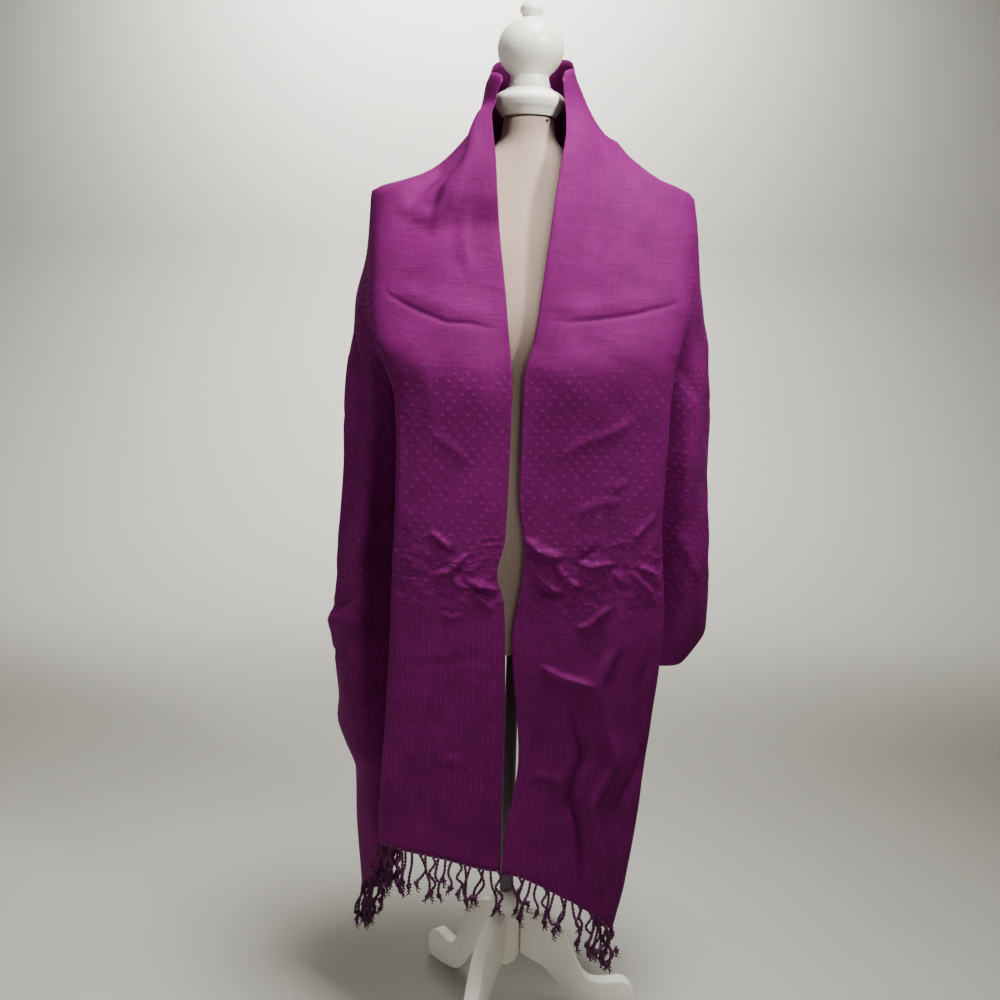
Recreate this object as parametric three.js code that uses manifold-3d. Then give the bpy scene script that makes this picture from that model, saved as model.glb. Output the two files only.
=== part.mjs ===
// A pashmina shawl worn open over a limbless dress form on a turned tripod stand.
// Millimetres, +Z up, the front faces -Y, and the form's own axis is the Z axis.
// Left and right are as seen from the front: left is -X.
import * as THREE from 'three';
import * as BufferGeometryUtils from 'three/addons/utils/BufferGeometryUtils.js';
import Module from 'manifold-3d';

const wasm = await Module();
wasm.setup();

// ---------------------------------------------------------------- driving sizes
const CLOTH_THICKNESS = 2;
const SEAM_GAP = 0.6;
const TOUCH_GAP = 0.3;

const LEFT = -1;
const RIGHT = 1;

// The cloth is drawn by its fold lines. Each line runs down the cloth, and each of its
// rows is [height above the floor, distance out from the middle, depth, back is +].
const LEFT_LINES = {
  edge: [
    [1164, 24, -28], [1147, 31, -30], [1131, 37, -29], [1084, 34, -43], [1024, 33, -65], [970, 28, -89], [917, 21, -107],
    [874, 17, -116], [799, 11, -120], [645, 14, -115], [605, 22, -114], [565, 13, -112], [437, 9, -107],
    [253, 9, -102],
  ],
  panel: [
    [1164, 38, -16], [1147, 44, -15], [1131, 47, -14], [1084, 57, -34], [1047, 75, -52], [1024, 98, -63], [970, 102, -93],
    [900, 96, -117], [850, 86, -125], [740, 78, -126], [565, 76, -121], [250, 82, -113],
  ],
  fold: [
    [1164, 43, -2], [1147, 49, 1], [1131, 52, 2], [1097, 62, -8], [1058, 93, -26], [1038, 126, -36], [1024, 158, -40],
    [970, 166, -60], [900, 164, -87], [860, 162, -99], [830, 150, -107], [795, 139, -111], [670, 135, -110],
    [545, 138, -107], [425, 144, -104], [250, 152, -99],
  ],
  tuck: [
    [1164, 44, 12], [1147, 50, 15], [1131, 52, 16], [1110, 57, 12], [1084, 76, 6], [1058, 101, 0], [1047, 118, -2],
    [1038, 144, -4], [1031, 168, -6], [1024, 178, -8], [970, 178, -30], [900, 178, -54], [860, 163, -66],
    [830, 142, -56], [795, 133, -45], [740, 130, -36], [600, 143, -30], [476, 136, -34], [250, 130, -46],
  ],
  ridge: [
    [1164, 42, 25], [1131, 48, 29], [1097, 60, 28], [1058, 95, 28], [1038, 132, 28], [1024, 172, 20],
    [970, 180, 0], [900, 191, -22], [860, 183, -39], [795, 177, -49], [600, 186, -50], [508, 193, -46],
    [392, 190, -38], [324, 175, -32], [150, 164, -26],
  ],
  side: [
    [1164, 36, 36], [1131, 40, 41], [1097, 50, 44], [1047, 87, 57], [1024, 145, 54], [970, 170, 42],
    [900, 194, 24], [795, 202, 6], [600, 210, 5], [553, 213, 5], [520, 220, 6], [476, 215, 8],
    [425, 213, 10], [392, 217, 12], [360, 207, 14], [324, 193, 16], [273, 193, 18], [150, 183, 22],
  ],
  rear: [
    [1164, 22, 49], [1110, 26, 55], [1047, 48, 76], [1024, 72, 86], [970, 92, 98], [860, 116, 110],
    [740, 132, 107], [476, 143, 102], [324, 138, 90], [130, 126, 78],
  ],
};

const RIGHT_LINES = {
  edge: [
    [1172, 31, -31], [1137, 38, -30], [1082, 37, -44], [1027, 32, -65], [970, 26, -89], [918, 19, -106],
    [860, 11, -117], [821, 1, -120], [690, 0, -118], [628, 8, -116], [589, 5, -114], [531, -3, -111],
    [384, 8, -107], [335, 2, -105], [241, 0, -102],
  ],
  panel: [
    [1172, 45, -17], [1137, 54, -14], [1099, 62, -28], [1063, 76, -45], [1036, 96, -58], [970, 108, -94],
    [900, 104, -118], [830, 96, -127], [675, 84, -124], [480, 84, -119], [208, 74, -105],
  ],
  fold: [
    [1172, 49, -1], [1137, 62, 4], [1099, 81, -8], [1063, 116, -22], [1036, 158, -34], [1027, 170, -38],
    [970, 180, -63], [900, 175, -91], [835, 166, -105], [770, 162, -109], [675, 160, -110], [552, 167, -107],
    [490, 165, -105], [443, 160, -103], [368, 153, -100], [227, 138, -92], [142, 124, -86],
  ],
  tuck: [
    [1172, 50, 13], [1137, 62, 17], [1117, 73, 14], [1099, 86, 10], [1082, 105, 6], [1063, 129, 2],
    [1045, 155, -2], [1036, 179, -5], [1027, 192, -8], [970, 196, -32], [900, 190, -60], [860, 175, -72],
    [830, 158, -60], [795, 151, -48], [740, 148, -38], [600, 150, -30], [480, 144, -38], [142, 110, -40],
  ],
  ridge: [
    [1172, 47, 26], [1137, 56, 31], [1099, 80, 30], [1063, 119, 30], [1036, 165, 26], [1027, 184, 20],
    [970, 198, 0], [900, 205, -24], [860, 199, -40], [795, 197, -50], [600, 205, -49], [552, 207, -46],
    [470, 198, -41],
  ],
  side: [
    [1172, 40, 38], [1137, 46, 43], [1099, 62, 50], [1045, 110, 60], [1027, 154, 54], [970, 184, 42],
    [900, 208, 24], [795, 218, 6], [675, 223, 5], [552, 233, 7], [520, 234, 8], [470, 220, 9],
  ],
  rear: [
    [1172, 23, 48], [1117, 29, 58], [1045, 58, 80], [1027, 76, 88], [970, 94, 101], [860, 124, 110],
    [740, 140, 108], [470, 150, 103],
  ],
};

// The middle of the back: [height, distance out, depth].
const BACK_LINE = [
  [1168, 0, 52], [1110, 0, 60], [1047, 0, 82], [970, 0, 106], [860, 0, 116], [740, 0, 112], [470, 0, 108],
];

const LINE_NAMES = ['edge', 'panel', 'fold', 'tuck', 'ridge', 'side', 'rear'];

// Stations count round the cloth from the left front edge, over the back, to the right one.
const AT = {
  leftEdge: 0, leftPanel: 1, leftFold: 2, leftTuck: 3, leftRidge: 4, leftSide: 5, leftCorner: 5.5, leftRear: 6,
  back: 7,
  rightRear: 8, rightSide: 9, rightRidge: 10, rightTuck: 11, rightFold: 12, rightPanel: 13, rightEdge: 14,
};

// Rows of [station, height].
const COLLAR_TOP = [
  [AT.leftEdge, 1148], [AT.leftPanel, 1158], [AT.leftTuck, 1164], [AT.back, 1186], [AT.rightTuck, 1171],
  [AT.rightPanel, 1164], [AT.rightEdge, 1151],
];
const FRONT_HEM = [
  [AT.leftEdge, 242], [AT.leftPanel, 262], [AT.leftFold, 273], [AT.leftTuck, 240], [AT.rightTuck, 150],
  [AT.rightFold, 165], [AT.rightPanel, 208], [AT.rightEdge, 241],
];
const BACK_HEM = [
  [AT.leftTuck, 240], [AT.leftRidge, 195], [AT.leftSide, 152], [AT.leftCorner, 142], [AT.leftRear, 300],
  [AT.leftRear + 0.5, 425], [AT.back, 476], [AT.rightRear, 492], [AT.rightSide, 514], [AT.rightRidge, 482],
  [AT.rightTuck, 478],
];

// Heights that every strip of cloth shares, from under the collar to the hips.
const SHARED_HEIGHTS = [
  1110, 1097, 1084, 1071, 1058, 1047, 1038, 1031, 1024, 1004, 975, 940, 900, 865, 830, 795, 745, 690, 640,
  605, 575, 545,
];
const COLLAR_ROWS = 3;
const FALL_ROWS = 8;
const BACK_ROWS = 4;

// Soft upright folds of the back, which deepen towards the hem.
const BACK_FOLD_DEPTH = 7;
const BACK_FOLD_TOP = 1010;
const BACK_FOLD_HEIGHT = 420;

// ---------------------------------------------------------------- curves
// A smooth curve through the rows that never swings past them.
function valueAt(rows, column, position) {
  const sign = Math.sign(rows[1][0] - rows[0][0]);
  const last = rows.length - 1;
  if ((position - rows[0][0]) * sign <= 0) return rows[0][column];
  if ((position - rows[last][0]) * sign >= 0) return rows[last][column];
  let i = 0;
  while ((position - rows[i + 1][0]) * sign > 0) i += 1;
  const rise = (a) => (rows[a + 1][column] - rows[a][column]) / (rows[a + 1][0] - rows[a][0]);
  const slopeAt = (a) => {
    if (a === 0 || a === last) return 0;
    const before = rise(a - 1);
    const after = rise(a);
    if (before * after <= 0) return 0;
    return (2 * before * after) / (before + after);
  };
  const span = rows[i + 1][0] - rows[i][0];
  const t = (position - rows[i][0]) / span;
  const t2 = t * t;
  const t3 = t2 * t;
  return rows[i][column] * (2 * t3 - 3 * t2 + 1) + slopeAt(i) * span * (t3 - 2 * t2 + t)
    + rows[i + 1][column] * (3 * t2 - 2 * t3) + slopeAt(i + 1) * span * (t3 - t2);
}

// The cloth's level section: one open curve from front edge to front edge.
function levelSection(height) {
  const place = (lines, side) => (name) => new THREE.Vector3(
    side * valueAt(lines[name], 1, height), valueAt(lines[name], 2, height), height);
  const left = LINE_NAMES.map(place(LEFT_LINES, LEFT));
  const right = LINE_NAMES.map(place(RIGHT_LINES, RIGHT)).reverse();
  const back = new THREE.Vector3(0, valueAt(BACK_LINE, 2, height), height);
  return new THREE.CatmullRomCurve3([...left, back, ...right], false, 'centripetal');
}

function backFold(station, height) {
  const from = AT.leftSide;
  const to = AT.rightSide;
  if (station <= from || station >= to) return 0;
  const fade = Math.sin((Math.PI * (station - from)) / (to - from));
  const drop = THREE.MathUtils.clamp((BACK_FOLD_TOP - height) / BACK_FOLD_HEIGHT, 0, 1);
  return BACK_FOLD_DEPTH * drop * Math.min(1, 2 * fade) * Math.cos(2 * Math.PI * (station - from));
}

// The middle of the wall at a station and height.
const sections = new Map();
function clothPoint(station, height) {
  if (!sections.has(height)) sections.set(height, levelSection(height));
  const curve = sections.get(height);
  const t = THREE.MathUtils.clamp(station / AT.rightEdge, 0, 1);
  const point = curve.getPoint(t);
  const wave = backFold(station, height);
  if (wave === 0) return point;
  const along = curve.getTangent(t);
  return point.add(new THREE.Vector3(-along.y, along.x, 0).multiplyScalar(wave));
}

const STATION_STEP = 0.01;
const HEIGHT_STEP = 2;

function stationSlope(station, height) {
  const low = Math.max(station - STATION_STEP, AT.leftEdge);
  const high = Math.min(station + STATION_STEP, AT.rightEdge);
  return clothPoint(high, height).sub(clothPoint(low, height)).divideScalar(high - low);
}

function clothNormal(station, height) {
  const down = clothPoint(station, height - HEIGHT_STEP).sub(clothPoint(station, height + HEIGHT_STEP));
  return stationSlope(station, height).cross(down).normalize();
}

// ---------------------------------------------------------------- solids
function solidFrom(points, triangles) {
  const geometry = new THREE.BufferGeometry();
  geometry.setAttribute('position', new THREE.Float32BufferAttribute(points.flatMap((p) => p.toArray()), 3));
  geometry.setIndex(triangles);
  return geometry;
}

// A closed wall of even thickness about a grid of [station, height] columns.
function clothWall(columns, thickness = CLOTH_THICKNESS) {
  const rows = columns[0].length;
  const outer = [];
  const inner = [];
  for (const column of columns) {
    for (const [station, height] of column) {
      const normal = clothNormal(station, height).multiplyScalar(thickness / 2);
      const middle = clothPoint(station, height);
      outer.push(middle.clone().add(normal));
      inner.push(middle.clone().sub(normal));
    }
  }
  const count = outer.length;
  const at = (column, row) => column * rows + row;
  const triangles = [];
  const quad = (a, b, c, d) => triangles.push(a, b, c, a, c, d);
  const lastColumn = columns.length - 1;
  const lastRow = rows - 1;
  for (let i = 0; i < lastColumn; i += 1) {
    for (let j = 0; j < lastRow; j += 1) {
      const [a, b, c, d] = [at(i, j), at(i + 1, j), at(i + 1, j + 1), at(i, j + 1)];
      quad(a, b, c, d);
      quad(count + d, count + c, count + b, count + a);
    }
    quad(at(i + 1, 0), at(i, 0), count + at(i, 0), count + at(i + 1, 0));
    quad(at(i, lastRow), at(i + 1, lastRow), count + at(i + 1, lastRow), count + at(i, lastRow));
  }
  for (let j = 0; j < lastRow; j += 1) {
    quad(at(0, j), at(0, j + 1), count + at(0, j + 1), count + at(0, j));
    quad(at(lastColumn, j + 1), at(lastColumn, j), count + at(lastColumn, j), count + at(lastColumn, j + 1));
  }
  return turnedOutward(solidFrom([...outer, ...inner], triangles));
}

// A closed solid through rings of the same number of points, with flat ends.
function loft(rings) {
  const sides = rings[0].length;
  const points = rings.flat();
  const triangles = [];
  for (let i = 0; i + 1 < rings.length; i += 1) {
    for (let j = 0; j < sides; j += 1) {
      const next = (j + 1) % sides;
      const [a, b] = [i * sides + j, i * sides + next];
      triangles.push(a, b, b + sides, a, b + sides, a + sides);
    }
  }
  const top = (rings.length - 1) * sides;
  for (let j = 1; j + 1 < sides; j += 1) {
    triangles.push(0, j + 1, j);
    triangles.push(top, top + j, top + j + 1);
  }
  return turnedOutward(solidFrom(points, triangles));
}

function signedVolume(geometry) {
  const { array } = geometry.attributes.position;
  const index = geometry.index.array;
  const [a, b, c] = [new THREE.Vector3(), new THREE.Vector3(), new THREE.Vector3()];
  let sum = 0;
  for (let i = 0; i < index.length; i += 3) {
    a.fromArray(array, index[i] * 3);
    b.fromArray(array, index[i + 1] * 3);
    c.fromArray(array, index[i + 2] * 3);
    sum += a.dot(b.cross(c)) / 6;
  }
  return sum;
}

function turnedOutward(geometry) {
  if (signedVolume(geometry) > 0) return geometry;
  const index = Array.from(geometry.index.array);
  for (let i = 0; i < index.length; i += 3) [index[i + 1], index[i + 2]] = [index[i + 2], index[i + 1]];
  geometry.setIndex(index);
  return geometry;
}

function toManifold(geometry) {
  const plain = geometry.clone();
  plain.deleteAttribute('normal');
  plain.deleteAttribute('uv');
  const merged = BufferGeometryUtils.mergeVertices(plain, 1e-4);
  return new wasm.Manifold(new wasm.Mesh({
    numProp: 3,
    vertProperties: merged.attributes.position.array,
    triVerts: Uint32Array.from(merged.index.array),
  }));
}

function toGeometry(manifold) {
  const mesh = manifold.getMesh();
  const geometry = new THREE.BufferGeometry();
  geometry.setAttribute('position', new THREE.BufferAttribute(mesh.vertProperties, 3));
  geometry.setIndex(new THREE.BufferAttribute(mesh.triVerts, 1));
  return geometry;
}

// ---------------------------------------------------------------- materials
const clothMaterial = () => new THREE.MeshStandardMaterial({ color: '#82237c', roughness: 0.8, metalness: 0 });
const formMaterial = () => new THREE.MeshStandardMaterial({ color: '#e4d6d0', roughness: 0.7, metalness: 0 });
const woodMaterial = () => new THREE.MeshStandardMaterial({ color: '#f2efe6', roughness: 0.45, metalness: 0 });
const tubeMaterial = () => new THREE.MeshStandardMaterial({ color: '#36323a', roughness: 0.5, metalness: 0 });

const part = new THREE.Group();

function add(name, geometry, material) {
  const mesh = new THREE.Mesh(geometry, material);
  mesh.name = name;
  part.add(mesh);
  return mesh;
}

// ---------------------------------------------------------------- cloth
// Even steps between stations: rows of [from, to, steps].
function stationList(runs) {
  const list = [runs[0][0]];
  for (const [from, to, steps] of runs) {
    for (let i = 1; i <= steps; i += 1) list.push(from + ((to - from) * i) / steps);
  }
  return list;
}

// One column of cloth, from the collar's top down to its hem.
function clothColumn(station, hem, lowRows) {
  const top = valueAt(COLLAR_TOP, 1, station);
  const [firstShared] = SHARED_HEIGHTS;
  const lastShared = SHARED_HEIGHTS[SHARED_HEIGHTS.length - 1];
  const heights = [];
  for (let i = 0; i < COLLAR_ROWS; i += 1) heights.push(top + ((firstShared - top) * i) / COLLAR_ROWS);
  heights.push(...SHARED_HEIGHTS);
  const bottom = valueAt(hem, 1, station);
  for (let i = 1; i <= lowRows; i += 1) heights.push(lastShared + ((bottom - lastShared) * i) / lowRows);
  return heights.map((height) => [station, height]);
}

// The columns between two stations, drawn in by half the gap at each end that is a seam.
function clothStretch(stations, hem, lowRows, seams) {
  const columns = stations.map((station) => clothColumn(station, hem, lowRows));
  const drawnIn = (column, inward) => column.map(([station, height]) => [
    station + (inward * SEAM_GAP) / 2 / stationSlope(station, height).length(), height]);
  if (seams.first) columns[0] = drawnIn(columns[0], 1);
  if (seams.last) columns.push(drawnIn(columns.pop(), -1));
  return clothWall(columns);
}

const leftFallStations = stationList([[AT.leftEdge, AT.leftPanel, 4], [AT.leftPanel, AT.leftFold, 5],
  [AT.leftFold, AT.leftTuck, 5]]);
const leftShoulderStations = stationList([[AT.leftTuck, AT.leftRidge, 4], [AT.leftRidge, AT.leftSide, 3],
  [AT.leftSide, AT.leftRear, 6]]);
const backStations = stationList([[AT.leftRear, AT.rightRear, 10]]);
const rightShoulderStations = stationList([[AT.rightRear, AT.rightSide, 5], [AT.rightSide, AT.rightRidge, 3],
  [AT.rightRidge, AT.rightTuck, 4]]);
const rightFallStations = stationList([[AT.rightTuck, AT.rightFold, 5], [AT.rightFold, AT.rightPanel, 5],
  [AT.rightPanel, AT.rightEdge, 4]]);

add('cloth_left_fall', clothStretch(leftFallStations, FRONT_HEM, FALL_ROWS, { last: true }), clothMaterial());
add('cloth_left_shoulder',
  clothStretch(leftShoulderStations, BACK_HEM, FALL_ROWS, { first: true, last: true }), clothMaterial());
add('cloth_neck_and_back',
  clothStretch(backStations, BACK_HEM, BACK_ROWS, { first: true, last: true }), clothMaterial());
add('cloth_right_shoulder',
  clothStretch(rightShoulderStations, BACK_HEM, BACK_ROWS, { first: true, last: true }), clothMaterial());
add('cloth_right_fall', clothStretch(rightFallStations, FRONT_HEM, FALL_ROWS, { first: true }), clothMaterial());

// ---------------------------------------------------------------- fringe
const STRIP_HEIGHT = 6;
const STRIP_GAP = 0.8;
const STRAND_SPACING = 10;
const STRAND_RADIUS = 1.6;
const STRAND_SIDES = 3;
const STRAND_LENGTH = 56;
const STRAND_LENGTH_CHANGE = 9;
const STRAND_SWAY = 3;
const STRAND_BENDS = 2;

// Stations along a hem that lie one strand apart.
function strandStations(hem, from, to) {
  const stations = [];
  const step = 0.004;
  let travelled = STRAND_SPACING / 2;
  let before = clothPoint(from, valueAt(hem, 1, from));
  for (let station = from + step; station < to; station += step) {
    const here = clothPoint(station, valueAt(hem, 1, station));
    travelled += here.distanceTo(before);
    before = here;
    if (travelled >= STRAND_SPACING) {
      stations.push(station);
      travelled = 0;
    }
  }
  return stations;
}

function strand(root, number) {
  const length = STRAND_LENGTH + STRAND_LENGTH_CHANGE * Math.sin(number * 2.4);
  const rings = [];
  for (let i = 0; i <= STRAND_BENDS; i += 1) {
    const down = i / STRAND_BENDS;
    const swayX = STRAND_SWAY * down * Math.sin(number * 1.7 + down * 2);
    const swayY = STRAND_SWAY * down * Math.cos(number * 2.9 + down * 2);
    const ring = [];
    for (let j = 0; j < STRAND_SIDES; j += 1) {
      const angle = (2 * Math.PI * j) / STRAND_SIDES;
      ring.push(new THREE.Vector3(root.x + swayX + STRAND_RADIUS * Math.cos(angle),
        root.y + swayY + STRAND_RADIUS * Math.sin(angle), root.z - length * down));
    }
    rings.push(ring);
  }
  return loft(rings);
}

// A narrow strip just under a hem, with the strands' roots fused into it.
function fringe(hem, stations) {
  const from = stations[0];
  const to = stations[stations.length - 1];
  const columns = stations.map((station) => {
    const top = valueAt(hem, 1, station) - STRIP_GAP;
    return [[station, top], [station, top - STRIP_HEIGHT]];
  });
  let solid = toManifold(clothWall(columns, CLOTH_THICKNESS));
  strandStations(hem, from, to).forEach((station, number) => {
    const root = clothPoint(station, valueAt(hem, 1, station) - STRIP_GAP - STRIP_HEIGHT / 2);
    solid = solid.add(toManifold(strand(root, number)));
  });
  return toGeometry(solid);
}

const sideHem = leftShoulderStations.filter((station) => station > AT.leftTuck && station <= AT.leftCorner);
add('fringe_left_front', fringe(FRONT_HEM, leftFallStations.slice(0, -1)), clothMaterial());
add('fringe_left_side', fringe(BACK_HEM, sideHem), clothMaterial());
add('fringe_right_front', fringe(FRONT_HEM, rightFallStations), clothMaterial());

// ---------------------------------------------------------------- dress form
// Level sections of the form: [height, half width, front depth, back depth, squareness].
const FORM_ROWS = [
  [1112, 30, -30, 31, 2], [1092, 31, -32, 34, 2], [1077, 40, -36, 40, 2], [1064.2, 66, -40, 46, 2],
  [1053.2, 96, -43, 52, 2], [1043.2, 124, -46, 57, 2], [1033.2, 152, -50, 62, 2.1], [1021, 165, -54, 66, 2.2],
  [1000, 168, -62, 72, 2.3], [960, 168, -80, 84, 2.3], [910, 162, -98, 93, 2.2], [862, 156, -107, 96, 2.2],
  [815, 138, -98, 92, 2.1], [750, 116, -84, 82, 2], [715, 112, -82, 81, 2], [660, 120, -86, 88, 2],
  [600, 132, -89, 93, 2], [550, 136, -88, 94, 2], [512, 134, -86, 92, 2], [497, 130, -84, 90, 2],
];
const FORM_SIDES = 28;
const FORM_BOTTOM = FORM_ROWS[FORM_ROWS.length - 1][0];
const FORM_TOP = FORM_ROWS[0][0];

const formRings = FORM_ROWS.map(([height, halfWidth, front, rear, squareness]) => {
  const ring = [];
  for (let j = 0; j < FORM_SIDES; j += 1) {
    const angle = (2 * Math.PI * j) / FORM_SIDES;
    const round = (value) => Math.sign(value) * Math.abs(value) ** (2 / squareness);
    const depth = Math.sin(angle) < 0 ? -front : rear;
    ring.push(new THREE.Vector3(halfWidth * round(Math.cos(angle)), depth * round(Math.sin(angle)), height));
  }
  return ring;
}).reverse();
add('form_torso', loft(formRings), formMaterial());

// ---------------------------------------------------------------- turned pieces
// A turned solid: rows of [radius, height] from the top down.
function turned(rows, sides = 22) {
  const profile = [...rows].reverse().map(([radius, height]) => new THREE.Vector2(radius, height));
  return new THREE.LatheGeometry(profile, sides).rotateX(Math.PI / 2);
}

const CAP_TOP = 1144;
const capProfile = [
  [0, CAP_TOP], [25, CAP_TOP], [28, 1141], [35, 1138], [39.5, 1134], [40.5, 1130], [38.5, 1124], [35, 1118],
  [32, FORM_TOP + 2], [32, FORM_TOP + TOUCH_GAP], [0, FORM_TOP + TOUCH_GAP],
];
add('neck_cap', turned(capProfile), woodMaterial());

const BALL_CENTRE = 1187;
const BALL_RADIUS = 37.5;
const BALL_HALF_HEIGHT = 35;
const KNOB_CENTRE = 1229;
const KNOB_RADIUS = 13.5;
const KNOB_HALF_HEIGHT = 11;
const WAIST_RADIUS = 22.5;

function turnedFinial() {
  const rows = [];
  const arc = (centre, radius, halfHeight, from, to, steps) => {
    for (let i = 0; i <= steps; i += 1) {
      const angle = THREE.MathUtils.degToRad(from + ((to - from) * i) / steps);
      rows.push([Math.max(0, radius * Math.sin(angle)), centre + halfHeight * Math.cos(angle)]);
    }
  };
  arc(KNOB_CENTRE, KNOB_RADIUS, KNOB_HALF_HEIGHT, 0, 148, 6);
  arc(BALL_CENTRE, BALL_RADIUS, BALL_HALF_HEIGHT, 14, 146, 9);
  rows.push([WAIST_RADIUS, CAP_TOP + 8], [WAIST_RADIUS + 1.5, CAP_TOP + TOUCH_GAP], [0, CAP_TOP + TOUCH_GAP]);
  return turned(rows);
}
add('finial', turnedFinial(), woodMaterial());

// ---------------------------------------------------------------- stand
const POLE_RADIUS = 8;
const HUB_TOP = 168;
const HUB_BOTTOM = 66;
const HUB_RADIUS = 19;
const SOCKET_RADIUS = 30;
const SOCKET_HEIGHT = 14;

const socketProfile = [
  [0, FORM_BOTTOM - TOUCH_GAP], [SOCKET_RADIUS, FORM_BOTTOM - TOUCH_GAP],
  [SOCKET_RADIUS, FORM_BOTTOM - SOCKET_HEIGHT + 4], [SOCKET_RADIUS - 8, FORM_BOTTOM - SOCKET_HEIGHT],
  [0, FORM_BOTTOM - SOCKET_HEIGHT],
];
add('pole_socket', turned(socketProfile, 20), woodMaterial());

const poleTop = FORM_BOTTOM - SOCKET_HEIGHT - TOUCH_GAP;
const poleBottom = HUB_TOP + TOUCH_GAP;
const pole = new THREE.CylinderGeometry(POLE_RADIUS, POLE_RADIUS, poleTop - poleBottom, 16);
add('pole', pole.rotateX(Math.PI / 2), tubeMaterial()).position.z = (poleTop + poleBottom) / 2;

const hubProfile = [
  [0, HUB_TOP], [12, HUB_TOP], [16, HUB_TOP - 6], [HUB_RADIUS, HUB_TOP - 14], [HUB_RADIUS, HUB_BOTTOM + 16],
  [16, HUB_BOTTOM + 8], [8, HUB_BOTTOM + 1], [0, HUB_BOTTOM],
];
add('stand_hub', turned(hubProfile, 24), woodMaterial());

// Each leg is sawn from a board: its outline in [distance from the axis, height].
const LEG_THICKNESS = 19;
const LEG_HEADINGS = { right: 5, rear_left: 125, front: 245 };
const LEG_ROOT = Math.sqrt(HUB_RADIUS ** 2 - (LEG_THICKNESS / 2) ** 2) + 2.8;
const FOOT_REACH = 170;
const FOOT_HEEL = 140;
const FOOT_HEIGHT = 36;

function legOutline() {
  const outline = new THREE.Shape();
  outline.moveTo(LEG_ROOT, HUB_TOP - 24);
  outline.lineTo(46, HUB_TOP - 34);
  outline.bezierCurveTo(82, HUB_TOP - 44, 88, 74, 104, 50);
  outline.bezierCurveTo(112, FOOT_HEIGHT, 134, FOOT_HEIGHT + 4, 150, FOOT_HEIGHT + 6);
  outline.quadraticCurveTo(FOOT_REACH, FOOT_HEIGHT + 4, FOOT_REACH, 16);
  outline.quadraticCurveTo(FOOT_REACH, 4, FOOT_REACH - 8, 0);
  outline.lineTo(FOOT_HEEL, 0);
  outline.bezierCurveTo(126, 6, 114, 2, 96, 12);
  outline.bezierCurveTo(76, 24, 62, 56, 44, 68);
  outline.lineTo(LEG_ROOT, HUB_BOTTOM + 18);
  outline.closePath();
  return outline;
}

for (const [name, heading] of Object.entries(LEG_HEADINGS)) {
  const board = new THREE.ExtrudeGeometry(legOutline(),
    { depth: LEG_THICKNESS, bevelEnabled: false, curveSegments: 5 });
  board.translate(0, 0, -LEG_THICKNESS / 2).rotateX(Math.PI / 2);
  add(`stand_leg_${name}`, board, woodMaterial()).rotation.z = THREE.MathUtils.degToRad(heading);
}

// ---------------------------------------------------------------- frame
// The origin is the middle of the part's box, on the floor.
part.updateMatrixWorld(true);
const size = new THREE.Box3().setFromObject(part, true);
part.position.set(-(size.min.x + size.max.x) / 2, -(size.min.y + size.max.y) / 2, -size.min.z);

export default part;
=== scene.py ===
"""A pashmina shawl worn open over a limbless dress form: the finish of every surface.

Tables are in millimetres from the form's own axis and the floor, as a maker would
measure them. Left is the viewer's left, and the front faces -Y.
"""

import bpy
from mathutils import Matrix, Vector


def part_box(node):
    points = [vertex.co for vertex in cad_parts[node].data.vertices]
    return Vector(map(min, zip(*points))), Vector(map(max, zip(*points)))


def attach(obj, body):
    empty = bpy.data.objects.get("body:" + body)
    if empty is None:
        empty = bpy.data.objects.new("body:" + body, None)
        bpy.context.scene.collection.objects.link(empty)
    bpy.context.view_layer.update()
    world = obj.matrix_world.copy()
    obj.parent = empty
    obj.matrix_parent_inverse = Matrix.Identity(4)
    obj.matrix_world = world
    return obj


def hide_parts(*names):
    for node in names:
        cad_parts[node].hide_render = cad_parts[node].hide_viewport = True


bl_info = {
    "name": "Pashmina on a dress form",
    "version": (1, 0, 0),
    "blender": (4, 5, 0),
    "location": "View3D > Sidebar > Shawl",
    "description": "Drapes a woven shawl with a knotted fringe over a dress form on a wooden stand",
    "category": "Object",
}

import math

import bpy
import numpy as np
from bpy.props import FloatProperty, FloatVectorProperty, IntProperty, PointerProperty
from mathutils import Matrix, Vector

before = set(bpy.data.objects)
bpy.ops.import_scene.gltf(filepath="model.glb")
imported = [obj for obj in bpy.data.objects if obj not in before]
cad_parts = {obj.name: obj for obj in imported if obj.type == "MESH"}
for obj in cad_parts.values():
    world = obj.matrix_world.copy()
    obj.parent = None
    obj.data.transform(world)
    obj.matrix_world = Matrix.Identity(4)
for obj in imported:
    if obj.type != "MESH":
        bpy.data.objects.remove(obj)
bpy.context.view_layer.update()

MM = 0.001


def middle(node):
    """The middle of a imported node's box, in metres."""
    low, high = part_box(node)
    return (Vector(low) + Vector(high)) / 2


AXIS = middle("pole")
AXIS.z = 0.0


def placed(points):
    """Millimetres from the form's axis, as metres in the part's frame."""
    return np.asarray(points, float) * MM + np.array(AXIS)


def linear(hex_colour):
    """An sRGB hex colour as linear RGBA."""
    channels = [int(hex_colour[i:i + 2], 16) / 255 for i in (1, 3, 5)]
    return tuple(c / 12.92 if c <= 0.04045 else ((c + 0.055) / 1.055) ** 2.4
                 for c in channels) + (1.0,)


# ---------------------------------------------------------------- what a user may change
def length_prop(name, description, default):
    return FloatProperty(name=name, description=description, default=default * MM, min=0.0001,
                         precision=4, unit="LENGTH")


def colour_prop(name, description, hex_colour):
    return FloatVectorProperty(name=name, description=description, default=linear(hex_colour),
                               size=4, min=0.0, max=1.0, subtype="COLOR")


def power_prop(name, lamp, default):
    return FloatProperty(name=name, description=f"Power of the {lamp}, in watts", default=default,
                         min=0.0)


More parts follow.
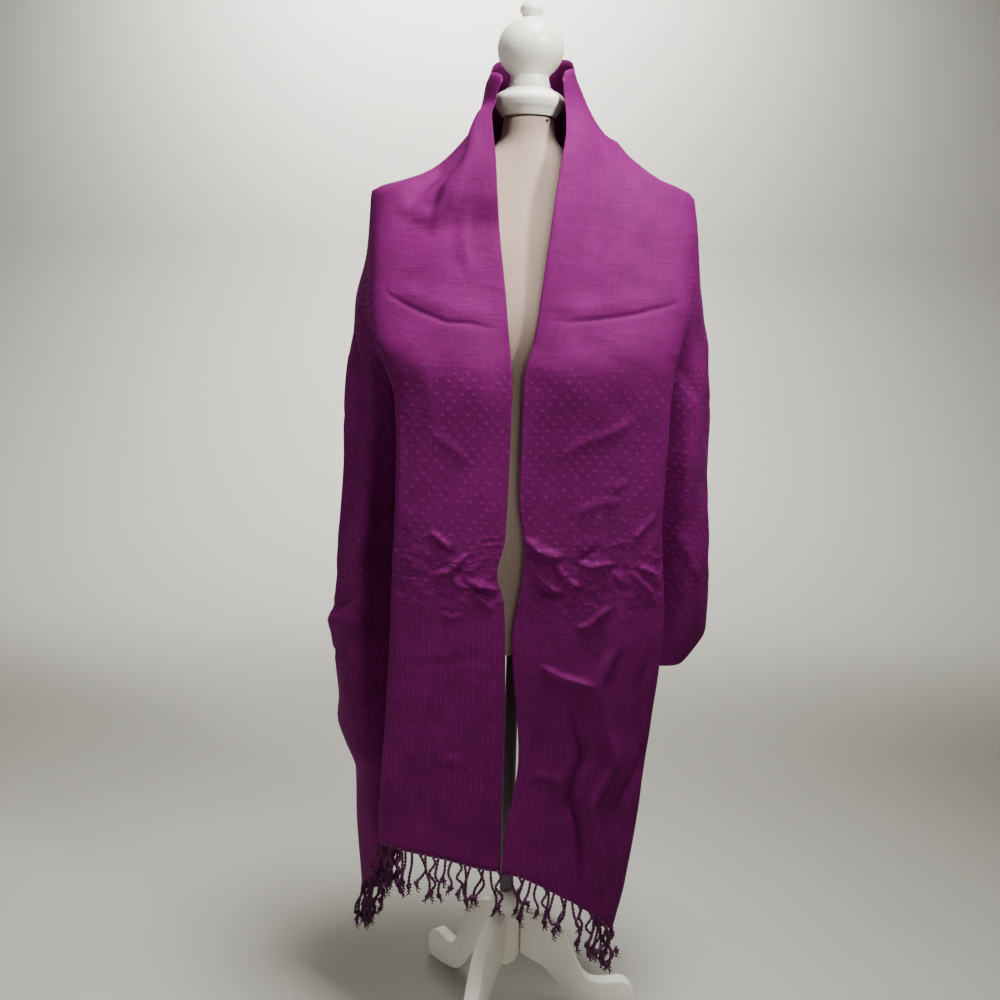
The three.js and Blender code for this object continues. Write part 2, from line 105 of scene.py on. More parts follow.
class ShawlSizes(bpy.types.PropertyGroup):
    """The woven cloth and its fringe."""

    wall: length_prop("Cloth wall", "Thickness of the woven cloth", 1.3)
    thread: length_prop("Thread pitch", "Spacing of the drawn threads", 2.2)
    figure_across: length_prop("Figure repeat across", "Width of one dobby repeat", 13.0)
    figure_along: length_prop("Figure repeat along", "Length of one dobby repeat", 15.0)
    rib: length_prop("Rib pitch", "Spacing of the woven ribs", 6.2)
    strand_spacing: length_prop("Strand spacing", "Distance between fringe strands", 8.0)
    strand_length: length_prop("Strand length", "Length of a fringe strand", 60.0)
    ply: length_prop("Ply radius", "Radius of one ply of a fringe strand", 1.2)
    plies: IntProperty(name="Plies", description="Plies twisted into one strand", default=2,
                       min=2, max=4)
    # The raised threads' colour is partly a painted highlight where floats and ribs stand, and it
    # also tints the sheen. The hollow colour is the dark end of the tone at random and, where the
    # weave dips, a painted shade.
    lit: colour_prop("Raised thread", "Colour of the raised threads", "#80106c")
    ground: colour_prop("Ground", "Colour of the woven ground", "#680d57")
    hollow: colour_prop("Hollow", "Colour between the threads", "#440838")


class FormFinish(bpy.types.PropertyGroup):
    """The dress form and its stand."""

    cover: colour_prop("Jersey", "Colour of the knitted cover", "#ad9585")
    paint: colour_prop("Paint", "Colour of the painted wood", "#faf7ec")
    bare_wood: colour_prop("Bare wood", "Colour where the paint is rubbed thin", "#b59468")
    enamel: colour_prop("Enamel", "Colour of the enamel on the pole", "#544d55")
    edge_round: length_prop("Edge round", "Rounding of the sawn legs' edges", 2.2)


class StudioSetting(bpy.types.PropertyGroup):
    """The camera and the lights."""

    lens: FloatProperty(name="Lens", description="Focal length on a 36 mm sensor, in millimetres",
                        default=43.2, min=10.0, max=200.0)
    key: power_prop("Key light", "overhead soft box", 14.3)
    head: power_prop("Head light", "narrow soft box on the collar", 2.3)
    fill: power_prop("Fill light", "low soft box on the left", 18.0)
    low: power_prop("Low light", "small low soft box in front", 0.25)
    paper_light: power_prop("Paper light", "box that lights the backdrop", 150.0)
    paper: colour_prop("Paper", "Colour of the floor and backdrop", "#b4b1a9")


# ---------------------------------------------------------------- the cloth's form
# The cloth's fold lines, top to bottom. Each row is
# (height above the floor, distance out from the middle, depth, where the back is +).
LEFT_LINES = {
    "edge": [
        (1164, 24, -28), (1147, 31, -30), (1131, 37, -29), (1084, 34, -43), (1024, 33, -65),
        (970, 28, -89), (917, 21, -107), (874, 17, -116), (799, 11, -120), (645, 14, -115),
        (605, 22, -114), (565, 13, -112), (437, 9, -107), (253, 9, -102),
    ],
    "panel": [
        (1164, 38, -16), (1147, 44, -15), (1131, 47, -14), (1084, 57, -34), (1047, 75, -52),
        (1024, 98, -63), (970, 102, -93), (900, 96, -117), (850, 86, -125), (740, 78, -126),
        (565, 76, -121), (250, 82, -113),
    ],
    "fold": [
        (1164, 43, -2), (1147, 49, 1), (1131, 52, 2), (1097, 62, -8), (1058, 93, -26),
        (1038, 126, -36), (1024, 158, -40), (970, 166, -60), (900, 164, -87), (860, 162, -99),
        (830, 150, -107), (795, 139, -111), (670, 135, -110), (545, 138, -107), (425, 144, -104),
        (250, 152, -99),
    ],
    "tuck": [
        (1164, 44, 12), (1147, 50, 15), (1131, 52, 16), (1110, 57, 12), (1084, 76, 6),
        (1058, 101, 0), (1047, 118, -2), (1038, 144, -4), (1031, 168, -6), (1024, 178, -8),
        (970, 178, -30), (900, 178, -54), (860, 163, -66), (830, 142, -56), (795, 133, -45),
        (740, 130, -36), (600, 143, -30), (476, 136, -34), (250, 130, -46),
    ],
    "ridge": [
        (1164, 42, 25), (1131, 48, 29), (1097, 60, 28), (1058, 95, 28), (1038, 132, 28),
        (1024, 172, 20), (970, 180, 0), (900, 191, -22), (860, 183, -39), (795, 177, -49),
        (600, 186, -50), (508, 193, -46), (392, 190, -38), (324, 175, -32), (150, 164, -26),
    ],
    "side": [
        (1164, 36, 36), (1131, 40, 41), (1097, 50, 44), (1047, 87, 57), (1024, 145, 54),
        (970, 170, 42), (900, 194, 24), (795, 202, 6), (600, 210, 5), (553, 213, 5), (520, 220, 6),
        (476, 215, 8), (425, 213, 10), (392, 217, 12), (360, 207, 14), (324, 193, 16),
        (273, 193, 18), (150, 183, 22),
    ],
    "rear": [
        (1164, 22, 49), (1110, 26, 55), (1047, 48, 76), (1024, 72, 86), (970, 92, 98),
        (860, 116, 110), (740, 132, 107), (476, 143, 102), (324, 138, 90), (130, 126, 78),
    ],
}

RIGHT_LINES = {
    "edge": [
        (1172, 31, -31), (1137, 38, -30), (1082, 37, -44), (1027, 32, -65), (970, 26, -89),
        (918, 19, -106), (860, 11, -117), (821, 1, -120), (690, 0, -118), (628, 8, -116),
        (589, 5, -114), (531, -3, -111), (384, 8, -107), (335, 3, -106), (290, -5, -107),
        (241, -7, -108),
    ],
    "panel": [
        (1172, 45, -17), (1137, 54, -14), (1099, 62, -28), (1063, 76, -45), (1036, 96, -58),
        (970, 108, -94), (900, 104, -118), (830, 96, -127), (675, 84, -124), (480, 84, -119),
        (208, 74, -105),
    ],
    "fold": [
        (1172, 49, -1), (1137, 62, 4), (1099, 81, -8), (1063, 116, -22), (1036, 158, -34),
        (1027, 170, -38), (970, 180, -63), (900, 175, -91), (835, 166, -105), (770, 162, -109),
        (675, 160, -110), (552, 167, -107), (490, 165, -105), (443, 160, -103), (368, 153, -100),
        (227, 138, -92), (142, 124, -86),
    ],
    "tuck": [
        (1172, 50, 13), (1137, 62, 17), (1117, 73, 14), (1099, 86, 10), (1082, 105, 6),
        (1063, 129, 2), (1045, 155, -2), (1036, 179, -5), (1027, 192, -8), (970, 196, -32),
        (900, 190, -60), (860, 175, -72), (830, 158, -60), (795, 151, -48), (740, 148, -38),
        (600, 150, -30), (480, 144, -38), (142, 110, -40),
    ],
    "ridge": [
        (1172, 47, 26), (1137, 56, 31), (1099, 80, 30), (1063, 119, 30), (1036, 165, 26),
        (1027, 184, 20), (970, 198, 0), (900, 205, -24), (860, 199, -40), (795, 197, -50),
        (600, 205, -49), (552, 207, -46), (470, 198, -41),
    ],
    "side": [
        (1172, 40, 38), (1137, 46, 43), (1099, 62, 50), (1045, 110, 60), (1027, 154, 54),
        (970, 184, 42), (900, 208, 24), (795, 218, 6), (675, 223, 5), (552, 233, 7), (520, 234, 8),
        (470, 220, 9),
    ],
    "rear": [
        (1172, 23, 48), (1117, 29, 58), (1045, 58, 80), (1027, 76, 88), (970, 94, 101),
        (860, 124, 110), (740, 140, 108), (470, 150, 103),
    ],
}

# The middle of the back: (height, depth).
BACK_LINE = [(1168, 52), (1110, 60), (1047, 82), (970, 106), (860, 116), (740, 112), (470, 108)]

# Stations count the fold lines from the left front edge, over the back, to the right one.
LINES = ("edge", "panel", "fold", "tuck", "ridge", "side", "rear")
LAST_STATION = 14
LEFT_TUCK, BACK, RIGHT_TUCK = 3, 7, 11

# Rows of (station, height).
COLLAR_TOP = [
    (0, 1148), (0.3, 1154), (1, 1158), (2, 1160), (3, 1164), (4.5, 1176), (5.5, 1182), (7, 1186),
    (9, 1184), (10.3, 1178), (11, 1171), (12, 1167), (13, 1164), (13.6, 1160), (14, 1151),
]
FRONT_HEM = [(0, 242), (1, 262), (2, 273), (3, 240), (11, 150), (12, 165), (13, 208), (14, 241)]
BACK_HEM = [
    (3, 240), (4, 195), (5, 152), (5.5, 142), (6, 300), (6.5, 425), (7, 476), (8, 492), (9, 514),
    (10, 482), (11, 478),
]

# Soft upright folds of the back, which deepen towards the hem.
BACK_FOLD = {"depth": 7, "top": 1010, "height": 420, "from": 5, "to": 9}

# The mesh's columns between fold lines, from the front edge to the middle of the back,
# and its rows between heights, from the collar to the hip. Both are closest at the front.
COLUMNS = (32, 28, 14, 9, 9, 9, 9)
COLLAR_BASE = 1110
BUST_ROW = 915
PRESSED_ROW = 867
WAIST_ROW = 662
HIP = 545
ROWS = {"collar": 9, "shoulder": 30, "pressed": 21, "body": 44, "waist": 50, "hem": 46,
        "right_hem": 52}


def smooth_value(rows, column, at):
    """A smooth curve through the rows that never swings past them."""
    rows = np.asarray(rows, float)
    if rows[-1, 0] < rows[0, 0]:
        rows = rows[::-1]
    x, y = rows[:, 0], rows[:, column]
    rise = np.diff(y) / np.diff(x)
    slope = np.zeros(len(x))
    before, after = rise[:-1], rise[1:]
    same = before * after > 0
    slope[1:-1][same] = 2 * before[same] * after[same] / (before[same] + after[same])
    at = np.clip(at, x[0], x[-1])
    i = np.clip(np.searchsorted(x, at, side="right") - 1, 0, len(x) - 2)
    span = x[i + 1] - x[i]
    t = (at - x[i]) / span
    t2, t3 = t ** 2, t ** 3
    return (y[i] * (2 * t3 - 3 * t2 + 1) + slope[i] * span * (t3 - 2 * t2 + t)
            + y[i + 1] * (3 * t2 - 2 * t3) + slope[i + 1] * span * (t3 - t2))


def from_front(station):
    """How many stations in from the nearer front edge."""
    return np.minimum(station, LAST_STATION - station)


def level_section(height):
    """Where the fold lines stand at each height, from front edge to front edge."""
    def side(lines, names, sign):
        return [np.stack([sign * smooth_value(lines[name], 1, height),
                          smooth_value(lines[name], 2, height)], -1) for name in names]

    back = np.stack([np.zeros_like(height), smooth_value(BACK_LINE, 1, height)], -1)
    fronts = side(LEFT_LINES, LINES, -1), side(RIGHT_LINES, LINES[::-1], 1)
    return np.stack(fronts[0] + [back] + fronts[1], axis=-2)


def on_section(section, station):
    """A point on the smooth curve through a level section."""
    first = 2 * section[..., :1, :] - section[..., 1:2, :]
    last = 2 * section[..., -1:, :] - section[..., -2:-1, :]
    points = np.concatenate([first, section, last], axis=-2)
    span = np.clip(np.floor(station).astype(int), 0, LAST_STATION - 1)
    w = (station - span)[..., None]

    def point(k):
        index = (span + k)[..., None, None].repeat(2, -1)
        return np.take_along_axis(points, index, axis=-2)[..., 0, :]

    def step(p, q):
        return np.maximum(((p - q) ** 2).sum(-1) ** 0.25, 1e-4)[..., None]

    a, b, c, d = point(0), point(1), point(2), point(3)
    ab, bc, cd = step(a, b), step(b, c), step(c, d)
    leave = ((b - a) / ab - (c - a) / (ab + bc) + (c - b) / bc) * bc
    arrive = ((c - b) / bc - (d - b) / (bc + cd) + (d - c) / cd) * bc
    return (b + leave * w + (3 * (c - b) - 2 * leave - arrive) * w ** 2
            + (2 * (b - c) + leave + arrive) * w ** 3)


def back_fold(station, height):
    low, high = BACK_FOLD["from"], BACK_FOLD["to"]
    fade = np.sin(np.pi * np.clip((station - low) / (high - low), 0, 1))
    drop = np.clip((BACK_FOLD["top"] - height) / BACK_FOLD["height"], 0, 1)
    return BACK_FOLD["depth"] * drop * np.minimum(1, 2 * fade) * np.cos(2 * np.pi * (station - low))


def bare_cloth(station, height):
    """The cloth before its creases."""
    section = level_section(height)
    near = 0.01
    along = (on_section(section, np.clip(station + near, 0, LAST_STATION))
             - on_section(section, np.clip(station - near, 0, LAST_STATION)))
    along /= np.linalg.norm(along, axis=-1, keepdims=True)
    outward = np.stack([-along[..., 1], along[..., 0]], -1)
    plan = on_section(section, station) + outward * back_fold(station, height)[..., None]
    return np.concatenate([plan, height[..., None]], -1)


def cloth_normal(station, height):
    near = 0.02
    across = (bare_cloth(np.clip(station + near, 0, LAST_STATION), height)
              - bare_cloth(np.clip(station - near, 0, LAST_STATION), height))
    down = bare_cloth(station, height - 3) - bare_cloth(station, height + 3)
    normal = np.cross(across, down)
    return normal / np.linalg.norm(normal, axis=-1, keepdims=True)


def travelled(points, axis):
    """The length run so far along one axis of a grid of points."""
    steps = np.linalg.norm(np.diff(points, axis=axis), axis=-1)
    return np.insert(np.cumsum(steps, axis=axis), 0, 0, axis=axis)


# How far round the cloth a station lies from the left front edge, kept as a table.
REACH_HEIGHTS = np.arange(136, 1180, 6.0)
REACH_STATIONS = np.linspace(0, LAST_STATION, 281)
REACH = travelled(bare_cloth(*np.meshgrid(REACH_STATIONS, REACH_HEIGHTS)), 1)


def reach(station, height):
    """Millimetres round the cloth from the left front edge."""
    last_row, last_column = len(REACH_HEIGHTS) - 1.001, len(REACH_STATIONS) - 1.001
    pitch = REACH_HEIGHTS[1] - REACH_HEIGHTS[0]
    row = np.clip((np.asarray(height, float) - REACH_HEIGHTS[0]) / pitch, 0, last_row)
    column = np.clip(np.asarray(station, float) / LAST_STATION * (len(REACH_STATIONS) - 1),
                     0, last_column)
    i, j = row.astype(int), column.astype(int)
    a, b = row - i, column - j
    return ((REACH[i, j] * (1 - b) + REACH[i, j + 1] * b) * (1 - a)
            + (REACH[i + 1, j] * (1 - b) + REACH[i + 1, j + 1] * b) * a)


# ---------------------------------------------------------------- creases
# Each is (half width, rise, [(station, height), ...]). A negative rise is a trough.
CREASES = [
    # The fold lines pressed in while the shawl lay packed, across both falls and the back.
    (2.1, -2.4, [(1.95, 926), (1.7, 908), (1.23, 891), (0.88, 881), (0.54, 880), (0.38, 877),
                 (-0.1, 872)]),
    (9.0, 1.5, [(1.7, 924), (1.2, 906), (0.86, 896), (0.5, 894), (-0.1, 888)]),
    (2.1, -2.4, [(14.1, 885), (13.62, 884), (13.12, 890), (12.73, 896), (12.3, 905), (12.0, 914)]),
    (9.0, 1.5, [(14.1, 900), (13.6, 898), (13.1, 904), (12.7, 911), (12.3, 920)]),
    (3.2, -1.6, [(5.6, 880), (6.3, 872), (7, 876), (7.8, 870), (8.6, 882)]),
    (3.2, 1.8, [(5.9, 590), (6.5, 583), (7.2, 588), (8.1, 580), (8.8, 592)]),
    (2.4, -1.4, [(1.77, 496), (1.18, 500), (0.54, 507), (0.2, 504)]),
    (2.4, 1.2, [(1.6, 503), (1.1, 508), (0.6, 515)]),
    # Left fall.
    (2.2, 2.8, [(1.36, 766), (1.0, 749), (0.62, 729)]),
    (2.4, 2.3, [(1.76, 646), (1.7, 662), (1.55, 682)]),
    (2.4, 4.8, [(1.36, 654), (1.05, 637), (0.9, 634)]),
    (2.9, -2.6, [(1.3, 643), (1.0, 627), (0.8, 625)]),
    (2.4, 4.0, [(1.34, 602), (0.96, 607), (0.6, 630)]),
    (2.6, -2.6, [(1.3, 594), (0.95, 598), (0.66, 615)]),
    (2.7, 3.4, [(0.95, 606), (0.71, 583)]),
    (2.4, 5.5, [(0.66, 596), (0.38, 590), (0.04, 585)]),
    (2.7, -3.4, [(0.6, 586), (0.36, 580), (0.05, 576)]),
    (2.6, 3.6, [(0.56, 585), (0.38, 573), (0.2, 558)]),
    (2.4, 1.4, [(1.15, 560), (0.95, 553), (0.72, 556)]),
    (2.4, 1.7, [(1.27, 398), (0.92, 385), (0.4, 373)]),
    (7.0, 2.2, [(0.5, 1010), (0.54, 968), (0.46, 930)]),
    (5.0, -2.0, [(1.86, 1000), (1.36, 990), (0.88, 973)]),
    (2.4, -2.0, [(1.45, 1011), (1.14, 1006), (0.83, 1006)]),
    (6.0, 2.6, [(1.84, 797), (1.9, 662), (1.9, 560)]),
    (9.0, 2.2, [(0.9, 470), (0.95, 380), (0.9, 270)]),
    # Right fall.
    (2.3, 3.6, [(13.66, 728), (13.25, 756), (13.0, 763), (12.77, 773), (12.6, 793)]),
    (2.4, -1.2, [(13.5, 732), (13.2, 746), (12.95, 753), (12.75, 763)]),
    (2.2, 2.6, [(12.84, 703), (12.57, 715)]),
    (2.3, 3.2, [(13.36, 672), (13.0, 687), (12.56, 694)]),
    (2.3, 3.2, [(12.52, 647), (12.32, 666), (12.1, 678)]),
    (4.2, 8.8, [(14.0, 648), (13.79, 632), (13.4, 624)]),
    (3.6, -4.2, [(13.95, 632), (13.7, 617), (13.45, 610)]),
    (3.2, -3.4, [(13.36, 613), (13.08, 631), (12.86, 644)]),
    (2.6, 4.8, [(13.32, 625), (13.04, 617), (12.7, 621)]),
    (2.7, 6.2, [(13.9, 617), (13.71, 600), (13.5, 586), (13.4, 591)]),
    (2.5, 4.8, [(13.56, 622), (13.33, 600), (13.05, 589)]),
    (3.6, -6.2, [(13.78, 582), (13.56, 580), (13.34, 583)]),
    (2.4, 3.4, [(12.75, 613), (12.53, 591)]),
    (2.6, 4.2, [(12.57, 616), (12.36, 597), (12.2, 573)]),
    (2.6, 3.1, [(12.45, 620), (12.25, 611), (12.1, 596)]),
    (2.4, 4.6, [(13.23, 547), (13.04, 548), (12.75, 575)]),
    (2.5, 5.6, [(13.66, 502), (13.42, 489), (13.08, 482), (12.84, 474)]),
    (2.7, -2.0, [(13.6, 490), (13.38, 479), (13.05, 472)]),
    (2.4, -1.5, [(13.0, 974), (12.73, 973), (12.4, 979)]),
    (2.4, -5.0, [(11.72, 1082), (12.1, 1066), (12.4, 1050)]),
    (2.1, 4.5, [(11.45, 1092), (11.6, 1082), (11.8, 1076)]),
    (5.5, 6.0, [(12.74, 620), (12.75, 510), (12.74, 437), (12.68, 353), (12.6, 260), (12.5, 150)]),
    (5.5, -8.0, [(13.2, 476), (13.12, 422), (13.08, 368), (12.93, 303), (12.84, 238), (12.8, 190)]),
    (6.0, -4.0, [(12.36, 540), (12.32, 460), (12.27, 364), (12.18, 240)]),
    (2.2, 2.2, [(13.88, 368), (13.5, 362), (13.17, 354)]),
    # Shoulder and sleeve, on the left.
    (9.0, -8.0, [(1.9, 1098), (1.76, 1068), (1.6, 1040), (1.46, 1018), (1.36, 1000)]),
    (6.0, 3.0, [(0.84, 1100), (0.76, 1066), (0.68, 1036), (0.74, 1010), (0.86, 992)]),
    (2.8, 3.0, [(1.5, 996), (1.1, 1000), (0.7, 1004)]),
    (3.2, -5.0, [(4.9, 531), (4.5, 539), (4.12, 552), (3.85, 560)]),
    (6.0, 5.0, [(4.9, 514), (4.5, 519), (4.1, 527), (3.8, 535)]),
    (3.2, -5.0, [(4.9, 474), (4.6, 480), (4.12, 493), (3.75, 508)]),
    (6.0, 4.2, [(3.8, 880), (3.88, 731), (3.9, 614), (3.82, 494), (3.9, 330)]),
    (8.0, -4.0, [(4.5, 870), (4.5, 720), (4.45, 580)]),
    (2.8, -2.5, [(3.9, 900), (3.55, 880), (3.25, 868)]),
    # Sleeve, on the right.
    (3.2, -4.0, [(10.6, 842), (10.2, 821), (9.85, 796)]),
    (3.2, 3.0, [(10.35, 652), (10.0, 611), (9.6, 574)]),
    (8.0, -3.0, [(9.6, 850), (9.6, 740), (9.7, 640)]),
    (7.0, 3.0, [(10.2, 780), (10.15, 690), (10.3, 560)]),
    # The back: swags slung between the shoulders, folds that fall from them, packing lines.
    (11, 8.5, [(5.2, 990), (6.0, 935), (7.0, 905), (8.0, 930), (8.9, 990)]),
    (8, -4.5, [(5.4, 962), (6.1, 912), (7.0, 884), (7.9, 908), (8.6, 960)]),
    (12, 8.0, [(5.1, 905), (6.0, 838), (7.0, 805), (8.1, 842), (9.0, 910)]),
    (9, -4.0, [(5.3, 872), (6.1, 812), (7.0, 780), (8.0, 815), (8.8, 872)]),
    (15, 11.5, [(5.7, 900), (5.5, 760), (5.7, 600), (5.5, 370)]),
    (12, -10.5, [(6.3, 740), (6.1, 640), (6.3, 520), (6.2, 380)]),
    (15, 11.0, [(8.5, 900), (8.7, 740), (8.4, 600), (8.6, 470)]),
    (12, -10.5, [(7.8, 720), (8.0, 640), (7.8, 540), (7.9, 450)]),
    (13, 8.0, [(7.0, 700), (6.9, 600), (7.1, 440)]),
    (3.4, -2.6, [(5.4, 886), (6.3, 880), (7.1, 884), (7.9, 878), (8.7, 890)]),
    (9, -2.5, [(6.98, 860), (7.03, 760), (6.97, 660), (7.02, 560)]),
    (5, 3.4, [(6.1, 640), (6.6, 652), (7.2, 642)]),
    (5, 3.2, [(7.3, 600), (7.7, 612), (8.3, 606)]),
    (5, 3.0, [(5.3, 622), (5.7, 634), (6.2, 628)]),
    (5, 3.4, [(5.2, 420), (5.5, 410), (5.9, 428)]),
    (9, 5.0, [(9.25, 930), (9.2, 800), (9.3, 660), (9.2, 530)]),
    (9, 5.0, [(4.85, 930), (4.9, 780), (4.8, 600), (4.9, 380)]),
    (9, -5.0, [(4.3, 900), (4.35, 740), (4.25, 580)]),
]

# The share of its length over which a crease fades in and out, how much its height wavers,
# and the half widths past which it has run out.
TAPER = 0.28
WAVER = 0.12
RUN_OUT = 30


def distance_along(points, place):
    """Each place's distance from a line, and how far along the line it lies, from 0 to 1."""
    points = np.asarray(points, float)
    lengths = np.linalg.norm(np.diff(points, axis=0), axis=1)
    nearest = np.full(place.shape[:-1], np.inf)
    share = np.zeros(place.shape[:-1])
    passed = 0.0
    for start, end, length in zip(points[:-1], points[1:], lengths):
        step = end - start
        t = np.clip(((place - start) @ step) / length ** 2, 0, 1)
        away = np.linalg.norm(place - start - t[..., None] * step, axis=-1)
        closer = away < nearest
        nearest = np.where(closer, away, nearest)
        share = np.where(closer, (passed + t * length) / lengths.sum(), share)
        passed += length
    return nearest, share


def smoothstep(low, high, value):
    t = np.clip((value - low) / (high - low), 0, 1)
    return t * t * (3 - 2 * t)


def crease_relief(station, height):
    """How far the creases lift the cloth off its plain form."""
    place = np.stack([reach(station, height), height], -1)
    lift = np.zeros_like(height)
    for number, (half_width, rise, points) in enumerate(CREASES):
        stations, heights = np.array(points, float).T
        line = np.stack([reach(stations, heights), heights], -1)
        away, share = distance_along(line, place)
        fade = smoothstep(0, TAPER, share) * smoothstep(0, TAPER, 1 - share)
        waver = 1 + WAVER * np.sin(share * 17 + number * 2.1) * np.cos(share * 7 + number)
        steps = np.minimum(away / (half_width * (0.5 + 0.5 * fade)), RUN_OUT)
        lift += rise * fade * waver / np.cosh(steps) ** 2
    return lift


# The cloth stands out over the bust and drops away sharply under it: rows of
# (station, rise, height of the turn), and how far the swell reaches above and below it.
BUST = [
    (0, 6.0, 832), (0.5, 11.5, 826), (1.2, 11.0, 824), (1.6, 6.0, 838), (2.1, 0, 852), (7, 0, 852),
    (11.9, 0, 852), (12.4, 6.0, 850), (13, 11.0, 838), (13.5, 11.5, 828), (14, 6.0, 834),
]
BUST_ABOVE, BUST_BELOW = 36, 64


def bust_relief(station, height):
    away = height - smooth_value(BUST, 2, station)
    spread = np.where(away > 0, BUST_ABOVE, BUST_BELOW)
    return smooth_value(BUST, 1, station) * np.exp(-(away / spread) ** 2)


# Between the collar and the bust the cloth spans the form's hollow: rows of (height, rise),
# all of it on the falls and none beyond the shoulders' ends.
CHEST_EASE = [(1095, 0), (1050, -1), (1010, -4), (970, -8), (930, -7.5), (895, -3), (865, 0)]
EASE_FULL, EASE_NONE = 1.2, 2.0


def chest_relief(station, height):
    on_falls = 1 - smoothstep(EASE_FULL, EASE_NONE, from_front(station))
    return smooth_value(CHEST_EASE, 1, height) * on_falls


# The front edges roll open and stand off the form: rows of (height, left rise, right rise).
LAPEL = [
    (1140, 0, 0), (1105, 3, 8), (1060, 6, 19), (1000, 7, 24), (950, 6, 21), (905, 3, 11),
    (872, 1, 3), (845, 0, 0),
]
LAPEL_WIDTH = 56


def lapel_relief(station, height):
    from_left = reach(station, height)
    from_right = reach(LAST_STATION, height) - from_left
    return (smooth_value(LAPEL, 1, height) * (1 - smoothstep(0, LAPEL_WIDTH, from_left))
            + smooth_value(LAPEL, 2, height) * (1 - smoothstep(0, LAPEL_WIDTH, from_right)))


# The left one is also folded over on itself from the collar down to the shoulder's front,
# with a steep outer side: rows of (height, station of the fold, rise).
FOLDED_LAPEL = [
    (1128, 1.0, 0), (1108, 0.95, 7), (1080, 0.9, 12), (1045, 0.8, 13), (1018, 0.82, 12),
    (1000, 0.9, 6), (985, 1.0, 0), (900, 1.0, 0),
]
FOLDED_SIDE = 15


def folded_lapel_relief(station, height):
    past = reach(station, height) - reach(smooth_value(FOLDED_LAPEL, 1, height), height)
    return smooth_value(FOLDED_LAPEL, 2, height) * (1 - smoothstep(0, FOLDED_SIDE, past))


# The falls end, seen from the front, where their outer fold turns back.
FALL_TURN = 1.7

# Where the falls were bunched and tied they stay finely crumpled: the middle height of
# the band, its half width, the rise of its sharp little ridges, how far apart they lie, and
# the share of the rise by which the hollows between them lie under the plain cloth.
CRUMPLE = {"height": 602, "half": 34, "rise": 2.4, "pitch": 27, "crowding": 1.6, "power": 0.7,
           "hollow": 0.3}
# The band wanders up and down in waves of (height, length, shift), and its ridges run three
# ways, each with its own (lean, shift, warp).
BAND_WAVES = ((9, 24, 0.0), (5, 9.5, 1.1))
CRUMPLE_WAYS = ((0.42, 0.0, 17.0), (-0.65, 2.1, 23.0), (1.25, 4.4, 29.0))


def crumple_relief(station, height):
    across = reach(station, height)
    along = height
    for tall, length, shift in BAND_WAVES:
        along = along + tall * np.sin(across / length + shift)
    tied = np.exp(-((along - CRUMPLE["height"]) / CRUMPLE["half"]) ** 2)
    front = 1 - smoothstep(FALL_TURN, FALL_TURN + 0.5, from_front(station))
    turn = math.pi / CRUMPLE["pitch"]
    lift = np.zeros_like(height)
    for lean, shift, warp in CRUMPLE_WAYS:
        straight = across * math.sin(lean) + height * math.cos(lean)
        phase = turn * straight * CRUMPLE["crowding"] + shift
        phase = phase + 0.9 * np.sin(across / warp + shift)
        phase = phase + 0.7 * np.sin(height / (warp * 0.6) + 2 * shift)
        lift += 1 - np.abs(np.sin(phase)) ** CRUMPLE["power"]
    return CRUMPLE["rise"] * tied * front * (lift / len(CRUMPLE_WAYS) - CRUMPLE["hollow"])


# The form carries the cloth from the second height up and lets it hang from the first down.
HANGS, CARRIED = 890, 1000
# The rise of the slack's wide and small waves, and how much more of it the sides have.
WIDE_SLACK, SMALL_SLACK = 1.1, 0.5
SIDE_SLACK = 0.8


def slack_relief(station, height):
    """The slow rise and fall of a soft cloth, none of it where the form carries the cloth."""
    across = reach(station, height)
    loose = 1 - smoothstep(HANGS, CARRIED, height)
    loose = loose * (1 + SIDE_SLACK * smoothstep(3, 4.5, from_front(station)))
    wide = WIDE_SLACK * np.sin(across / 31 + np.sin(height / 120) * 1.4)
    wide = wide * np.cos(height / 163 + across / 90)
    small = SMALL_SLACK * np.sin(across / 13.7 + height / 61 + 1.3)
    small = small * np.sin(height / 44 - across / 37)
    return loose * (wide + small)


RELIEFS = (crease_relief, bust_relief, chest_relief, lapel_relief, folded_lapel_relief,
           crumple_relief, slack_relief)


def cloth_point(station, height):
    """The middle of the cloth's wall, creases and all."""
    station, height = np.broadcast_arrays(np.asarray(station, float), np.asarray(height, float))
    lift = sum(relief(station, height) for relief in RELIEFS)
    return bare_cloth(station, height) + cloth_normal(station, height) * lift[..., None]


# ---------------------------------------------------------------- mesh helpers
def new_object(name, vertices, faces):
    mesh = bpy.data.meshes.new(name)
    mesh.from_pydata([tuple(v) for v in vertices], [], [tuple(int(i) for i in f) for f in faces])
    piece = bpy.data.objects.new(name, mesh)
    bpy.context.collection.objects.link(piece)
    return piece


def deselect():
    """Leaves any edit and selects nothing."""
    if bpy.context.mode != "OBJECT":
        bpy.ops.object.mode_set(mode="OBJECT")
    bpy.ops.object.select_all(action="DESELECT")


def pick(piece):
    """Makes one piece the only selected and active one."""
    deselect()
    piece.select_set(True)
    bpy.context.view_layer.objects.active = piece


def named(name):
    """The object just added, under its name."""
    piece = bpy.context.object
    piece.name = piece.data.name = name
    return piece


def settle():
    """Brings the active object's origin to the frame's, unrotated and unscaled."""
    bpy.ops.object.transform_apply(location=True, rotation=True, scale=True)


def apply_modifier(piece, kind, **settings):
    pick(piece)
    modifier = piece.modifiers.new(kind.title(), kind)
    for name, value in settings.items():
        setattr(modifier, name, value)
    bpy.ops.object.modifier_apply(modifier=modifier.name)


def smooth(piece, angle=180.0):
    pick(piece)
    bpy.ops.object.shade_smooth_by_angle(angle=math.radians(angle))


def finish_piece(piece, material, slot, *nodes):
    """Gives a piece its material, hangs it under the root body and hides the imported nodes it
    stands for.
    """
    piece.data.materials.clear()
    piece.data.materials.append(material)
    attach(piece, "root")
    if nodes:
        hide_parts(*nodes)
    return piece


def column_stations():
    left = [0.0]
    for line, count in enumerate(COLUMNS):
        left += [line + (step + 1) / count for step in range(count)]
    return np.array(left + [LAST_STATION - s for s in left[-2::-1]])


